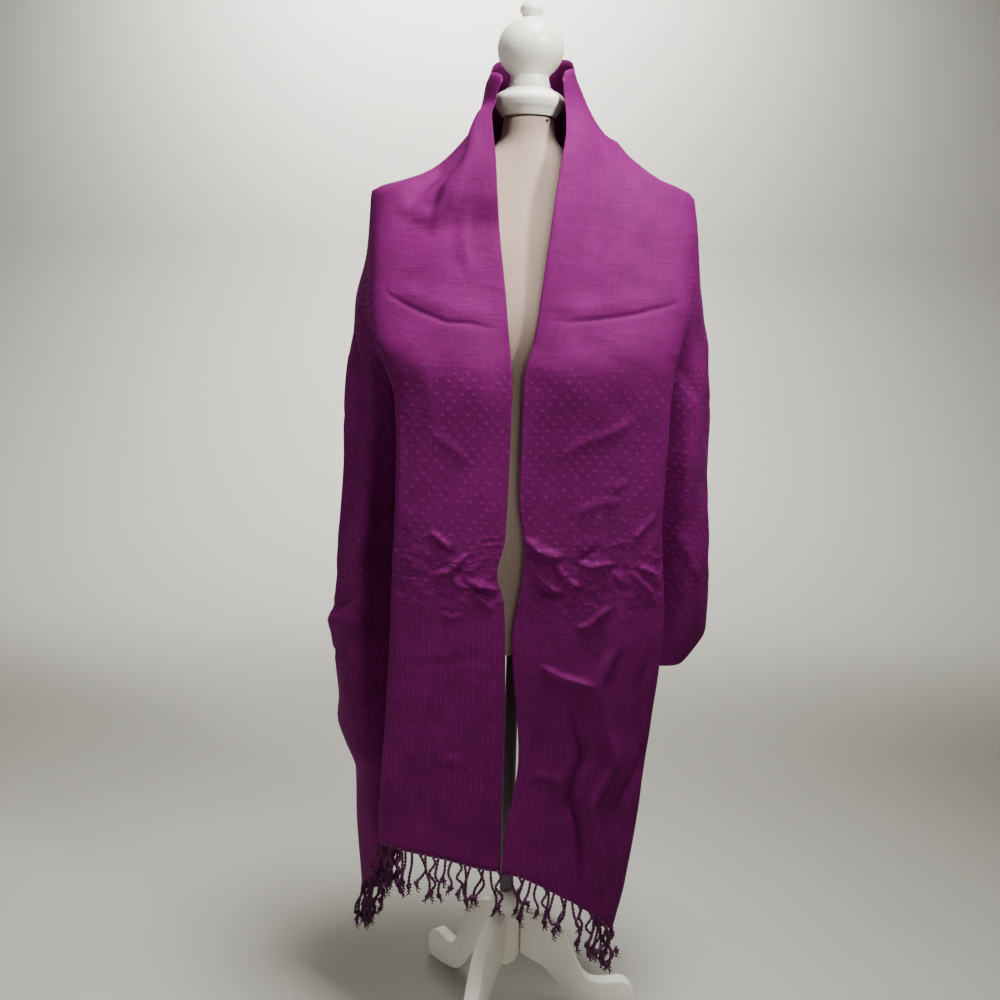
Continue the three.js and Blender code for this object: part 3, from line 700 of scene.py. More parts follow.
def spread(top, bottom, count):
    return top[:, None] + (bottom - top)[:, None] * np.linspace(0, 1, count + 1)[None, :]


def strip_heights(stations, hem, meet=None):
    """Each column's heights down to its hem. Where meet is given, every column also has
    rows that match the column beside it down to that height."""
    level = np.ones_like(stations)
    stages = [
        ("collar", COLLAR_BASE * level), ("shoulder", BUST_ROW * level),
        ("pressed", PRESSED_ROW * level), ("body", WAIST_ROW * level), ("waist", HIP * level),
    ]
    bottom = smooth_value(hem, 1, stations)
    if meet is None:
        stages.append(("hem", bottom))
    else:
        stages += [("hem", meet * level), ("right_hem", bottom)]
    top = smooth_value(COLLAR_TOP, 1, stations)
    rows = [top[:, None]]
    for stage, low in stages:
        rows.append(spread(top, low, ROWS[stage])[:, 1:])
        top = low
    return np.concatenate(rows, axis=1)


# Where the bands of figured and ribbed weave run on the left and on the right fall: the
# heights up to which a band is out, from and to which it is fully in, and past which it is
# out again.
FIGURED = {"left": (548, 590, 812, 848), "right": (470, 600, 812, 848)}
RIBBED = {"left": (300, 345, 530, 575), "right": (196, 250, 400, 450)}
# On the sleeves the figured band's top runs this much higher. Its foot, up to the second
# height, does not.
SLEEVE_BAND_RISE = 130
FIGURED_FOOT = HIP + 150
# How strongly the ribs of the right fall show beside those of the left.
RIGHT_RIBS = 0.6

# The finest wrinkles are drawn on the surface: everywhere a little, fully where it was tied
# (heights), and partly round the notch in the left sleeve (stations, height, half height).
WRINKLED_EVERYWHERE = 0.10
TIED = (540, 588, 618, 668)
NOTCH_STATIONS = (3.2, 3.8, 4.9, 5.6)
NOTCH_HEIGHT, NOTCH_HALF = 520, 45
NOTCH_WRINKLES = 0.5

# Between these stations from the front the bands fade out towards the back.
SIDES_END = (5.2, 6.2)


def band(limits, at):
    out_below, in_from, in_to, out_above = limits
    return smoothstep(out_below, in_from, at) * (1 - smoothstep(in_to, out_above, at))


def wrinkle_share(station, height):
    inward = from_front(station)
    patchy = 0.62 + 0.38 * np.sin(inward * 5.2 + 0.8) * np.cos(height / 21)
    tied = band(TIED, height) * patchy * (1 - smoothstep(FALL_TURN, FALL_TURN + 0.7, inward))
    notch = (NOTCH_WRINKLES * np.exp(-((height - NOTCH_HEIGHT) / NOTCH_HALF) ** 2)
             * band(NOTCH_STATIONS, station))
    return np.maximum(np.maximum(tied, notch), WRINKLED_EVERYWHERE)


def weave_shares(station, height):
    """How much of the figured weave, the ribs and the fine wrinkles shows, from 0 to 1."""
    inward = from_front(station)
    sides = 1 - smoothstep(*SIDES_END, inward)
    lowered = height - SLEEVE_BAND_RISE * smoothstep(FALL_TURN, FALL_TURN + 0.6, inward)
    lowered = np.minimum(height, np.maximum(lowered, FIGURED_FOOT))
    on_left = station < BACK
    figured = np.where(on_left, band(FIGURED["left"], lowered), band(FIGURED["right"], lowered))
    ribbed = np.where(on_left, band(RIBBED["left"], height),
                      band(RIBBED["right"], height) * RIGHT_RIBS)
    return np.stack([figured * sides, ribbed * sides, wrinkle_share(station, height)], -1)


def corners(grid):
    """The four corners of each cell of a grid, in order round it."""
    return np.stack([grid[:-1, :-1], grid[1:, :-1], grid[1:, 1:], grid[:-1, 1:]], axis=2)


def build_cloth(sizes):
    stations = column_stations()
    # (columns, hem, height down to which the rows match the strip before, origin of the cut)
    strips = [
        (stations[stations <= LEFT_TUCK], FRONT_HEM, None, 0),
        (stations[(stations >= LEFT_TUCK) & (stations <= RIGHT_TUCK)], BACK_HEM, None, BACK),
        (stations[stations >= RIGHT_TUCK], FRONT_HEM, dict(BACK_HEM)[RIGHT_TUCK], LAST_STATION),
    ]
    bust_row = ROWS["collar"] + ROWS["shoulder"]
    points, shares, faces, cut = [], [], [], []
    before = None
    taken = 0
    for columns, hem, meet, origin in strips:
        height = strip_heights(columns, hem, meet)
        station = np.repeat(columns[:, None], height.shape[1], axis=1)
        place = cloth_point(station, height)
        points.append(place.reshape(-1, 3))
        shares.append(weave_shares(station, height).reshape(-1, 3))

        number = taken + np.arange(height.size).reshape(height.shape)
        taken += height.size
        if before is not None:
            shared = min(before.shape[1], number.shape[1])
            number[0, :shared] = before[-1, :shared]
        before = number
        faces.append(corners(number).reshape(-1, 4))

        down = travelled(place, 1)
        along = down[:, bust_row:bust_row + 1] - down
        around = reach(station, height) - reach(origin, height)
        cut.append(corners(np.stack([around, along], -1) * MM).reshape(-1, 2))

    points, shares, faces = (np.concatenate(rows) for rows in (points, shares, faces))
    used, compact = np.unique(faces, return_inverse=True)
    piece = new_object("shawl_cloth", placed(points[used]), compact.reshape(faces.shape))
    mesh = piece.data
    mesh.uv_layers.new(name="cloth").data.foreach_set("uv", np.concatenate(cut).ravel())
    for column, name in enumerate(("figured", "ribbed", "wrinkled")):
        layer = mesh.attributes.new(name, "FLOAT", "POINT")
        layer.data.foreach_set("value", shares[used, column])
    apply_modifier(piece, "SOLIDIFY", thickness=sizes.wall, offset=0.0, use_rim=True)
    smooth(piece)
    return piece


# ---------------------------------------------------------------- fringe
# How a strand hangs: rows of (sideways, forwards, share of its length down).
STRAND_WAYS = {
    "straight": [(0, 0, 0), (1.2, 0.4, 0.3), (-1.0, 0.2, 0.65), (0.8, -0.4, 1)],
    "kinked": [(0, 0, 0), (4.2, 0.6, 0.16), (-2.6, 2.2, 0.36), (4.8, 0.6, 0.56),
               (-0.8, 1.2, 0.76), (2.8, 0, 0.96)],
    "left_hook": [(0, 0, 0), (-1.6, 0.6, 0.28), (-7.4, 1.6, 0.5), (-8.6, 0.8, 0.7),
                  (-4.0, 0.2, 0.86)],
    "right_hook": [(0, 0, 0), (2.2, 0.6, 0.3), (7.6, 1.8, 0.52), (7.2, 0.9, 0.74), (2.8, 0.2, 0.9)],
    "curled": [(0, 0, 0), (4.6, 1.4, 0.2), (7.4, 0.6, 0.42), (2.0, -1.4, 0.6), (-4.4, 0.6, 0.7),
               (-1.4, 1.8, 0.9)],
    "looped": [(0, 0, 0), (-3.6, 1.0, 0.22), (-6.8, 2.4, 0.44), (-2.2, 3.2, 0.6),
               (3.6, 1.4, 0.58), (5.0, 0.2, 0.8)],
    "short": [(0, 0, 0), (-2.6, 1.4, 0.24), (3.0, 1.8, 0.44), (-1.6, 0.6, 0.66)],
}
STRAND_ORDER = (
    "kinked", "right_hook", "left_hook", "curled", "looped", "straight", "kinked", "short",
    "left_hook", "looped", "kinked", "right_hook", "curled", "straight", "left_hook", "kinked",
    "short",
)
# Neighbours lean together into clumps: how far each bottom end is drawn over, in turn.
CLUMP_LEAN = (4.5, 0.5, -4.0, 3.0, -3.5, 5.0, 1.0, -5.0, 2.0)
STRAND_RINGS = 24
PLY_SIDES = 5
# How many times the plies turn in each stretch, and how far apart their middles lie, in radii.
TWISTS, TWIST_STRETCH = 7, 60
PLY_SPACING = 0.8
# How far a strand may be turned round, in degrees, and lengthened or shortened.
STRAND_TURN = 24
LENGTH_VARIES = 0.15
# Down a strand, as shares of its length or of its own thickness.
KNOT_PLACE = 0.8
KNOT_HALF_LENGTH = 0.035
KNOT_SWELL = 1.5
TAIL_SPLAY = 2.4
TAIL_THINNING = 0.45


def smooth_route(points, count):
    """Even steps along a smooth open curve through the points."""
    points = np.asarray(points, float)
    points = np.concatenate([[2 * points[0] - points[1]], points, [2 * points[-1] - points[-2]]])
    spans = len(points) - 3
    at = np.linspace(0, spans, count)
    i = np.minimum(at.astype(int), spans - 1)
    t = (at - i)[:, None]
    a, b, c, d = points[i], points[i + 1], points[i + 2], points[i + 3]
    return 0.5 * (2 * b + (c - a) * t + (2 * a - 5 * b + 4 * c - d) * t ** 2
                  + (3 * b - a - 3 * c + d) * t ** 3)


def strand_centre(root, number, length):
    """The middle line of a strand that hangs down from its root in its own way."""
    turn = math.radians(STRAND_TURN * math.sin(number * 2.3))
    lean = CLUMP_LEAN[number % len(CLUMP_LEAN)]
    route = []
    for sideways, forwards, down in STRAND_WAYS[STRAND_ORDER[number % len(STRAND_ORDER)]]:
        sideways = sideways + lean * down
        x = sideways * math.cos(turn) + forwards * math.sin(turn)
        y = sideways * math.sin(turn) - forwards * math.cos(turn)
        route.append((root[0] + x, root[1] + y, root[2] - length * down))
    return smooth_route(route, STRAND_RINGS)


def ply_faces(start):
    """The faces of one closed ply whose vertices are numbered from start."""
    faces = []
    for ring in range(STRAND_RINGS - 1):
        for corner in range(PLY_SIDES):
            a = start + ring * PLY_SIDES + corner
            b = start + ring * PLY_SIDES + (corner + 1) % PLY_SIDES
            faces.append((a, b, b + PLY_SIDES, a + PLY_SIDES))
    faces.append(tuple(start + corner for corner in range(PLY_SIDES))[::-1])
    last = start + (STRAND_RINGS - 1) * PLY_SIDES
    faces.append(tuple(last + corner for corner in range(PLY_SIDES)))
    return faces


def twisted_strand(root, number, length, sizes):
    """The vertices and faces of one plied strand with a knot and a splayed tail."""
    length *= 1 + LENGTH_VARIES * math.sin(number * 1.9)
    centre = strand_centre(root, number, length)
    along = np.gradient(centre, axis=0)
    along /= np.linalg.norm(along, axis=1, keepdims=True)
    side = np.cross(along, (0.05, 1, 0.02))
    side /= np.linalg.norm(side, axis=1, keepdims=True)
    out = np.cross(side, along)
    down = np.linspace(0, 1, STRAND_RINGS)
    swell = 1 + KNOT_SWELL * np.exp(-((down - KNOT_PLACE) / KNOT_HALF_LENGTH) ** 2)
    splay = 1 + TAIL_SPLAY * smoothstep(KNOT_PLACE + 0.04, 1, down)
    taper = 1 - TAIL_THINNING * smoothstep(KNOT_PLACE + 0.05, 1, down)
    radius = sizes.ply / MM
    vertices, faces = [], []
    for ply in range(sizes.plies):
        angle = 2 * math.pi * (TWISTS * down * length / TWIST_STRETCH + ply / sizes.plies)
        lay = side * np.cos(angle)[:, None] + out * np.sin(angle)[:, None]
        line = centre + lay * (PLY_SPACING * radius * swell * splay)[:, None]
        faces += ply_faces(len(vertices))
        for ring in range(STRAND_RINGS):
            for corner in range(PLY_SIDES):
                a = 2 * math.pi * corner / PLY_SIDES
                reach_out = side[ring] * math.cos(a) + out[ring] * math.sin(a)
                vertices.append(line[ring] + reach_out * radius * swell[ring] * taper[ring])
    return vertices, faces


# The steps in which a hem is measured, and how deep in the cloth a strand is rooted.
HEM_STEPS = 1200
ROOT_DEPTH = 2.5


def hem_stations(hem, first, last, spacing):
    """Stations along a hem that lie one strand apart."""
    fine = np.linspace(first, last, HEM_STEPS)
    run = travelled(cloth_point(fine, smooth_value(hem, 1, fine)), 0)
    count = int(run[-1] / spacing)
    return np.interp(spacing * (np.arange(count) + 0.5), run, fine)


def build_fringe(name, hem, first, last, start_number, sizes):
    vertices, faces = [], []
    at = hem_stations(hem, first, last, sizes.strand_spacing / MM)
    roots = cloth_point(at, smooth_value(hem, 1, at) + ROOT_DEPTH)
    for number, root in enumerate(roots, start_number):
        strand, strand_faces = twisted_strand(root, number, sizes.strand_length / MM, sizes)
        base = len(vertices)
        vertices += strand
        faces += [tuple(base + i for i in face) for face in strand_faces]
    piece = new_object(name, placed(vertices), faces)
    smooth(piece)
    return piece


# ---------------------------------------------------------------- dress form and stand
# Rows of (height, half width, front depth, back depth), from the bottom up.
TORSO_ROWS = [
    (497, 122, -77, 83), (499, 129, -83, 89), (512, 132.5, -85, 91), (550, 134.5, -87, 93),
    (600, 130.5, -88, 92), (660, 118.5, -85, 87), (715, 110.5, -81, 80), (750, 114.5, -83, 81),
    (815, 136, -97, 90), (862, 154, -105, 94), (910, 160, -96, 91), (960, 166, -78.5, 82),
    (1000, 166, -60, 70), (1021, 163, -52, 64), (1033, 150, -48, 60), (1043, 122, -44, 55),
    (1053, 94, -41, 50), (1064, 64, -38, 44.5), (1077, 38.5, -34.5, 38.5), (1092, 30, -31, 33),
    (1110, 29.5, -29.5, 30.5), (1112, 27, -27, 28),
]
# The turned parts: rows of (height, radius), from the bottom up.
CAP_ROWS = [
    (1112.5, 31), (1114, 32), (1118, 34.6), (1121, 36.6), (1121.8, 37.6), (1123.5, 38.4),
    (1127, 39.9), (1130, 40.4), (1133, 39.8), (1135.5, 38), (1138, 34.8), (1139.5, 32),
    (1141, 28.8), (1143, 26.5), (1144, 24.5),
]
FINIAL_ROWS = [
    (1144.3, 23.6), (1146, 24), (1149, 23), (1153, 21.8), (1157, 21.4), (1160, 23.6), (1164, 28),
    (1169, 32.2), (1175, 35.6), (1181, 37.2), (1187, 37.6), (1193, 37.1), (1199, 35.4),
    (1205, 32.4), (1211, 27.6), (1215.5, 21.8), (1218.5, 16), (1220, 11), (1221.4, 8.6),
    (1223, 10.2), (1225.5, 12.4), (1229, 13.4), (1232.5, 12.6), (1236, 10), (1238.6, 6),
    (1239.8, 2.4),
]
SOCKET_ROWS = [
    (483, 20), (483.6, 22), (486, 26.5), (489, 29.4), (492, 30), (495.6, 29.8), (496.6, 29),
]
POLE_ROWS = [
    (168.4, 7.4), (169, 8), (172, 8), (180, 8.2), (184, 8), (300, 8), (420, 8), (470, 8),
    (476, 8.3), (480, 8), (482.6, 7.6),
]
HUB_ROWS = [
    (66, 3), (66.6, 6), (69, 10), (74, 15.6), (79, 18), (84, 19), (100, 19), (126, 19), (150, 19),
    (155, 18.6), (158, 17.4), (160, 16.8), (163, 16), (166, 13.6), (168, 11.6),
]
TURNED_SIDES = 56
TORSO_SIDES = 36
# Edges sharper than this, in degrees, stay crisp on turned wood.
TURNED_CRISP = 30


def open_mesh(name):
    """Names the flat shape just added and opens it for editing, all of it selected."""
    piece = named(name)
    bpy.ops.object.mode_set(mode="EDIT")
    bpy.ops.mesh.select_all(action="SELECT")
    return piece


def extrude(step, ratio, centre):
    """Draws the selected end out by a step, then sizes it about its new centre."""
    bpy.ops.mesh.extrude_region_move(TRANSFORM_OT_translate={"value": step})
    bpy.ops.transform.resize(value=ratio, center_override=centre)


def close_mesh():
    """Turns every face outwards and ends the edit."""
    bpy.ops.mesh.select_all(action="SELECT")
    bpy.ops.mesh.normals_make_consistent(inside=False)
    bpy.ops.object.mode_set(mode="OBJECT")
    settle()


def stack_rings(name, rows, sides):
    """Draws a round form up from a circle, one ring for each row of
    (height, half width, middle of its depth, half depth)."""
    deselect()
    height, wide, centre, deep = rows[0]
    foot = AXIS + Vector((0, centre, height)) * MM
    bpy.ops.mesh.primitive_circle_add(vertices=sides, radius=wide * MM, fill_type="NGON",
                                      location=foot)
    piece = open_mesh(name)
    bpy.ops.transform.resize(value=(1, deep / wide, 1), center_override=foot)
    for (low, was_wide, was_centre, was_deep), (high, wide, centre, deep) in zip(rows, rows[1:]):
        extrude((0, (centre - was_centre) * MM, (high - low) * MM),
                (wide / was_wide, deep / was_deep, 1), AXIS + Vector((0, centre, high)) * MM)
    close_mesh()
    return piece


def turn_on_lathe(name, rows):
    rings = [(height, radius, 0, radius) for height, radius in rows]
    piece = stack_rings(name, rings, TURNED_SIDES)
    smooth(piece, TURNED_CRISP)
    return piece


# One leg, sawn from a board: (distance from the axis, top edge, bottom edge).
LEG_SECTIONS = [
    (19.3, 144, 84), (30, 140, 77), (40, 136.5, 70.5), (48, 133.5, 65), (56, 130, 57),
    (64, 124, 47), (72, 115, 36), (80, 102.5, 26), (88, 84.5, 18), (96, 65, 12), (104, 50, 8.3),
    (112, 43, 5.8), (122, 40.2, 4), (132, 40, 2), (142, 41, 0), (150, 42, 0), (158, 40, 0),
    (163.5, 36, 0.8), (167.5, 30, 4.6), (169.6, 22.6, 10),
]
LEG_THICKNESS = 19
LEG_HEADINGS = {"right": 5, "rear_left": 125, "front": 245}
# Edges of the sawn board, in degrees: which ones are rounded, and which stay crisp.
LEG_ROUNDED, LEG_CRISP = 50, 40


def saw_leg(name, heading, finish):
    """Draws a leg out from its root, one upright section after another."""
    out = Vector((math.cos(heading), math.sin(heading), 0))

    def place(section):
        distance, top, bottom = section
        return AXIS + (out * distance + Vector((0, 0, (top + bottom) / 2))) * MM

    deselect()
    first = LEG_SECTIONS[0]
    bpy.ops.mesh.primitive_plane_add(size=LEG_THICKNESS * MM, location=place(first),
                                     rotation=(math.pi / 2, 0, heading + math.pi / 2))
    piece = open_mesh(name)
    bpy.ops.transform.resize(value=(1, 1, (first[1] - first[2]) / LEG_THICKNESS),
                             center_override=place(first))
    for was, now in zip(LEG_SECTIONS, LEG_SECTIONS[1:]):
        taller = (now[1] - now[2]) / (was[1] - was[2])
        extrude(place(now) - place(was), (1, 1, taller), place(now))
    close_mesh()
    apply_modifier(piece, "BEVEL", width=finish.edge_round, segments=3, limit_method="ANGLE",
                   angle_limit=math.radians(LEG_ROUNDED))
    smooth(piece, LEG_CRISP)
    return piece


# ---------------------------------------------------------------- materials
def add_node(material, kind, sockets=None, out=0, stops=(), **settings):
    """Adds one node, sets its fields and its colour stops, sets or links each of its named
    sockets, and gives back one of its outputs."""
    tree = material.node_tree
    made = tree.nodes.new("ShaderNode" + kind)
    for name, value in settings.items():
        setattr(made, name, value)
    if stops:
        ramp = made.color_ramp.elements
        ramp[0].position, ramp[0].color = stops[0]
        ramp[1].position, ramp[1].color = stops[-1]
        for position, colour in stops[1:-1]:
            ramp.new(position).color = colour
    for name, value in (sockets or {}).items():
        if isinstance(value, bpy.types.NodeSocket):
            tree.links.new(value, made.inputs[name])
        else:
            made.inputs[name].default_value = value
    return made.outputs[out] if made.outputs else None


def new_material(name):
    material = bpy.data.materials.new(name)
    material.use_nodes = True
    material.node_tree.nodes.clear()
    return material


def shaded(colour, *shares):
    """A colour with each channel taken down to its share."""
    return (*(channel * share for channel, share in zip(colour, shares)), 1.0)


# The floats of weft that stand on the ground weave in one repeat of the dobby figure, as
# shares of it: (across, along, half width, half length, strength). Each comes again half a
# repeat over and half a repeat on.
FIGURE_CHART = [
    (0.24, 0.25, 0.25, 0.13, 1.0),
    (0.36, 0.35, 0.16, 0.08, 0.5),
    (0.14, 0.15, 0.14, 0.08, 0.4),
]


def woven_cloth(sizes):
    """Plain-woven viscose pashmina, brushed: matt, with slubby threads that catch the
    light, small shiny floats in the figured bands and broken raised ribs below them.
    Its real threads lie 0.4 mm apart and are drawn about five times coarser to show."""
    material = new_material("woven_viscose_pashmina")
    flat = add_node(material, "UVMap", uv_map="cloth")
    across = add_node(material, "SeparateXYZ", {0: flat}, out="X")
    along = add_node(material, "SeparateXYZ", {0: flat}, out="Y")
    figured, ribbed, wrinkled = (
        add_node(material, "Attribute", out="Fac", attribute_name=name)
        for name in ("figured", "ribbed", "wrinkled"))

    # Threads over and under.
    threads = []
    for place in (across, along):
        turned = add_node(material, "Math", {0: place, 1: 2 * math.pi / sizes.thread},
                          operation="MULTIPLY")
        threads.append(add_node(material, "Math", {0: turned}, operation="SINE"))
    weave = add_node(material, "Math", {0: threads[0], 1: threads[1]}, operation="MULTIPLY")

    # Slubs: long thin streaks along each thread, about 1.4 mm wide and 25 mm long.
    slubs = []
    for scale in ((34, 620, 1), (560, 30, 1)):
        stretched = add_node(material, "Mapping", {"Vector": flat, "Scale": scale})
        slubs.append(add_node(material, "TexNoise",
                              {"Vector": stretched, "Scale": 1.0, "Detail": 2.0},
                              noise_dimensions="2D"))
    slub = add_node(material, "Mix", {0: 0.42, 2: slubs[0], 3: slubs[1]}, data_type="FLOAT")
    cloudy = add_node(material, "TexNoise", {"Vector": flat, "Scale": 26.0, "Detail": 3.0},
                      noise_dimensions="2D")

    # The dobby figure, unevenly strong as the floats fray.
    repeats = (1 / sizes.figure_across, 1 / sizes.figure_along, 1)
    repeat = add_node(material, "VectorMath", {0: flat, 1: repeats}, operation="MULTIPLY")
    cell = add_node(material, "VectorMath", {0: repeat}, operation="FRACTION")
    floats = 0.0
    chart = [(x + half, y + half, *rest) for x, y, *rest in FIGURE_CHART for half in (0, 0.5)]
    for x, y, half_width, half_length, strength in chart:
        away = add_node(material, "VectorMath", {0: cell, 1: (x, y, 0)}, operation="SUBTRACT")
        shrink = (1 / half_width, 1 / half_length, 0)
        away = add_node(material, "VectorMath", {0: away, 1: shrink}, operation="MULTIPLY")
        away = add_node(material, "VectorMath", {0: away}, out="Value", operation="LENGTH")
        mark = add_node(material, "MapRange", {"Value": away, "From Min": 1.0, "From Max": 0.45,
                                               "To Min": 0.0, "To Max": strength},
                        interpolation_type="SMOOTHSTEP")
        floats = add_node(material, "Math", {0: floats, 1: mark}, operation="MAXIMUM")
    frayed = add_node(material, "TexNoise", {"Vector": flat, "Scale": 130.0, "Detail": 2.0},
                      noise_dimensions="2D")
    frayed = add_node(material, "MapRange", {"Value": frayed, "From Min": 0.36, "From Max": 0.58},
                      interpolation_type="SMOOTHSTEP")
    for share in (frayed, figured):
        floats = add_node(material, "Math", {0: floats, 1: share}, operation="MULTIPLY")

    # Ribs: a raised warp stripe at each pitch, broken into dashes along its length.
    stripe = add_node(material, "Math", {0: across, 1: 1 / sizes.rib}, operation="MULTIPLY")
    stripe_number = add_node(material, "Math", {0: stripe}, operation="ROUND")
    phase = add_node(material, "Math", {0: stripe, 1: 2 * math.pi}, operation="MULTIPLY")
    ribs = add_node(material, "Math", {0: phase}, operation="COSINE")
    ribs = add_node(material, "MapRange", {"Value": ribs, "From Min": 0.15, "From Max": 0.9},
                    interpolation_type="SMOOTHSTEP")
    dash = add_node(material, "CombineXYZ", {"X": stripe_number, "Y": along})
    dash = add_node(material, "VectorMath", {0: dash, 1: (7.31, 70.0, 0)}, operation="MULTIPLY")
    dash = add_node(material, "TexNoise", {"Vector": dash, "Scale": 1.0, "Detail": 1.0},
                    noise_dimensions="2D")
    dash = add_node(material, "MapRange", {"Value": dash, "From Min": 0.42, "From Max": 0.62,
                                           "To Max": 0.55}, interpolation_type="SMOOTHSTEP")
    for share in (dash, ribbed):
        ribs = add_node(material, "Math", {0: ribs, 1: share}, operation="MULTIPLY")

    # Fine wrinkles: crisp little crests, longer across the fall than down it.
    crests = add_node(material, "Mapping", {"Vector": flat, "Scale": (24, 46, 1),
                                            "Rotation": (0, 0, 0.35)})
    crests = add_node(material, "TexNoise", {
        "Vector": crests, "Scale": 1.0, "Detail": 2.0, "Roughness": 0.55, "Distortion": 0.5,
        "Offset": 0.95, "Gain": 1.4}, noise_dimensions="2D", noise_type="RIDGED_MULTIFRACTAL",
        normalize=False)
    crests = add_node(material, "Math", {0: crests, 1: wrinkled}, operation="MULTIPLY")

    # Height of the surface, and how light each thread looks. Where the weave, floats and ribs stand
    # high the colour is painted lighter, a painted highlight, and where the weave dips it is
    # painted darker, a painted shade; slubs and clouds add tone at random.
    slub = add_node(material, "Math", {0: slub, 1: 0.36, 2: 0.32}, operation="MULTIPLY_ADD")
    fine = add_node(material, "Math", {0: weave, 1: 0.07, 2: slub}, operation="MULTIPLY_ADD")
    raised = add_node(material, "Math", {0: floats, 1: ribs}, operation="MAXIMUM")
    height = add_node(material, "Math", {0: raised, 1: 0.55, 2: fine}, operation="MULTIPLY_ADD")
    tone = add_node(material, "Math", {0: cloudy, 1: 0.22, 2: fine}, operation="MULTIPLY_ADD")
    tone = add_node(material, "Math", {0: raised, 1: 0.24, 2: tone}, operation="MULTIPLY_ADD")
    colour = add_node(material, "ValToRGB", {"Fac": tone},
                      stops=((0.38, sizes.hollow), (0.68, sizes.ground), (1.0, sizes.lit)))

    folded = add_node(material, "Bump", {"Height": crests, "Strength": 0.55, "Distance": 0.0026})
    bump = add_node(material, "Bump", {"Height": height, "Strength": 0.5, "Distance": 0.0010,
                                       "Normal": folded})
    rough = add_node(material, "MapRange", {"Value": raised, "To Min": 0.74, "To Max": 0.5})
    shader = add_node(material, "BsdfPrincipled", {
        "Base Color": colour, "Roughness": rough, "Normal": bump, "IOR": 1.47,
        "Specular IOR Level": 0.12, "Sheen Weight": 0.05, "Sheen Roughness": 0.4,
        "Sheen Tint": sizes.lit})
    add_node(material, "OutputMaterial", {"Surface": shader})
    return material


def twisted_yarn(sizes):
    """The same viscose, plied: matt and fibrous, darker between the turns."""
    material = new_material("plied_viscose_yarn")
    place = add_node(material, "TexCoord", out="Object")
    fibres = add_node(material, "TexNoise", {"Vector": place, "Scale": 900.0, "Detail": 3.0})
    broad = add_node(material, "TexNoise", {"Vector": place, "Scale": 60.0, "Detail": 2.0})
    tone = add_node(material, "Mix", {0: 0.4, 2: fibres, 3: broad}, data_type="FLOAT")
    colour = add_node(material, "ValToRGB", {"Fac": tone},
                      stops=((0.55, sizes.hollow), (1.0, sizes.ground)))
    bump = add_node(material, "Bump", {"Height": fibres, "Strength": 0.6, "Distance": 0.0005})
    shader = add_node(material, "BsdfPrincipled", {
        "Base Color": colour, "Roughness": 0.8, "Normal": bump, "Sheen Weight": 0.3,
        "Sheen Roughness": 0.5, "Sheen Tint": sizes.lit})
    add_node(material, "OutputMaterial", {"Surface": shader})
    return material


def cotton_jersey(finish):
    """Fine cotton jersey pulled over a moulded form: matt, with courses and wales about
    0.8 mm apart, drawn at 1.6 mm, and a faint mottle from handling. The knit's dips are
    painted darker, a painted shade."""
    material = new_material("stretched_cotton_jersey")
    place = add_node(material, "TexCoord", out="Object")
    courses, wales = (
        add_node(material, "TexWave", {"Vector": place, "Scale": 98.0, "Distortion": 0.6,
                                       "Detail": 1.0, "Detail Scale": 3.0},
                 out="Fac", wave_type="BANDS", bands_direction=direction)
        for direction in "ZX")
    knit = add_node(material, "Math", {0: courses, 1: wales}, operation="MULTIPLY")
    mottle = add_node(material, "TexNoise", {"Vector": place, "Scale": 14.0, "Detail": 4.0})
    # The knit that raises the surface also lightens its colour, so its dips are painted darker, a
    # painted shade, beside the mottle from handling.
    tone = add_node(material, "Math", {0: knit, 1: 0.25, 2: mottle}, operation="MULTIPLY_ADD")
    handled_and_knit_shade = shaded(finish.cover, 0.84, 0.80, 0.78)
    colour = add_node(material, "ValToRGB", {"Fac": tone},
                      stops=((0.3, handled_and_knit_shade), (0.75, finish.cover)))
    bump = add_node(material, "Bump", {"Height": knit, "Strength": 0.3, "Distance": 0.0004})
    shader = add_node(material, "BsdfPrincipled", {
        "Base Color": colour, "Roughness": 0.85, "Normal": bump, "Sheen Weight": 0.15,
        "Sheen Roughness": 0.5})
    add_node(material, "OutputMaterial", {"Surface": shader})
    return material


def painted_wood(finish):
    """Satin alkyd paint brushed over turned and sawn softwood: faint brush marks about
    1.5 mm apart that run up and down, dusty patches, and small rubs near the floor."""
    material = new_material("brushed_satin_paint_on_wood")
    place = add_node(material, "TexCoord", out="Object")
    drawn_out = add_node(material, "Mapping", {"Vector": place, "Scale": (640, 640, 22)})
    brush = add_node(material, "TexNoise", {"Vector": drawn_out, "Scale": 1.0, "Detail": 2.0})
    dust = add_node(material, "TexNoise", {"Vector": place, "Scale": 11.0, "Detail": 5.0})
    tone = add_node(material, "Math", {0: brush, 1: 0.3, 2: dust}, operation="MULTIPLY_ADD")
    dusty = shaded(finish.paint, 0.86, 0.83, 0.76)
    colour = add_node(material, "ValToRGB", {"Fac": tone},
                      stops=((0.35, dusty), (0.8, finish.paint)))
    rubs = add_node(material, "TexNoise", {"Vector": place, "Scale": 75.0, "Detail": 6.0,
                                           "Roughness": 0.65})
    low = add_node(material, "SeparateXYZ", {0: place}, out="Z")
    low = add_node(material, "MapRange", {"Value": low, "From Min": 0.0, "From Max": 0.05,
                                          "To Min": 0.1, "To Max": 0.0})
    rubs = add_node(material, "Math", {0: rubs, 1: low}, operation="ADD")
    rubbed = add_node(material, "MapRange", {"Value": rubs, "From Min": 0.71, "From Max": 0.74})
    mixed = add_node(material, "Mix", {0: rubbed, 6: colour, 7: finish.bare_wood}, out=2,
                     data_type="RGBA")
    bump = add_node(material, "Bump", {"Height": brush, "Strength": 0.18, "Distance": 0.0005})
    rough = add_node(material, "MapRange", {"Value": dust, "From Min": 0.3, "From Max": 0.7,
                                            "To Min": 0.34, "To Max": 0.5})
    shader = add_node(material, "BsdfPrincipled", {
        "Base Color": mixed, "Roughness": rough, "Normal": bump, "IOR": 1.5, "Coat Weight": 0.15,
        "Coat Roughness": 0.3})
    add_node(material, "OutputMaterial", {"Surface": shader})
    return material


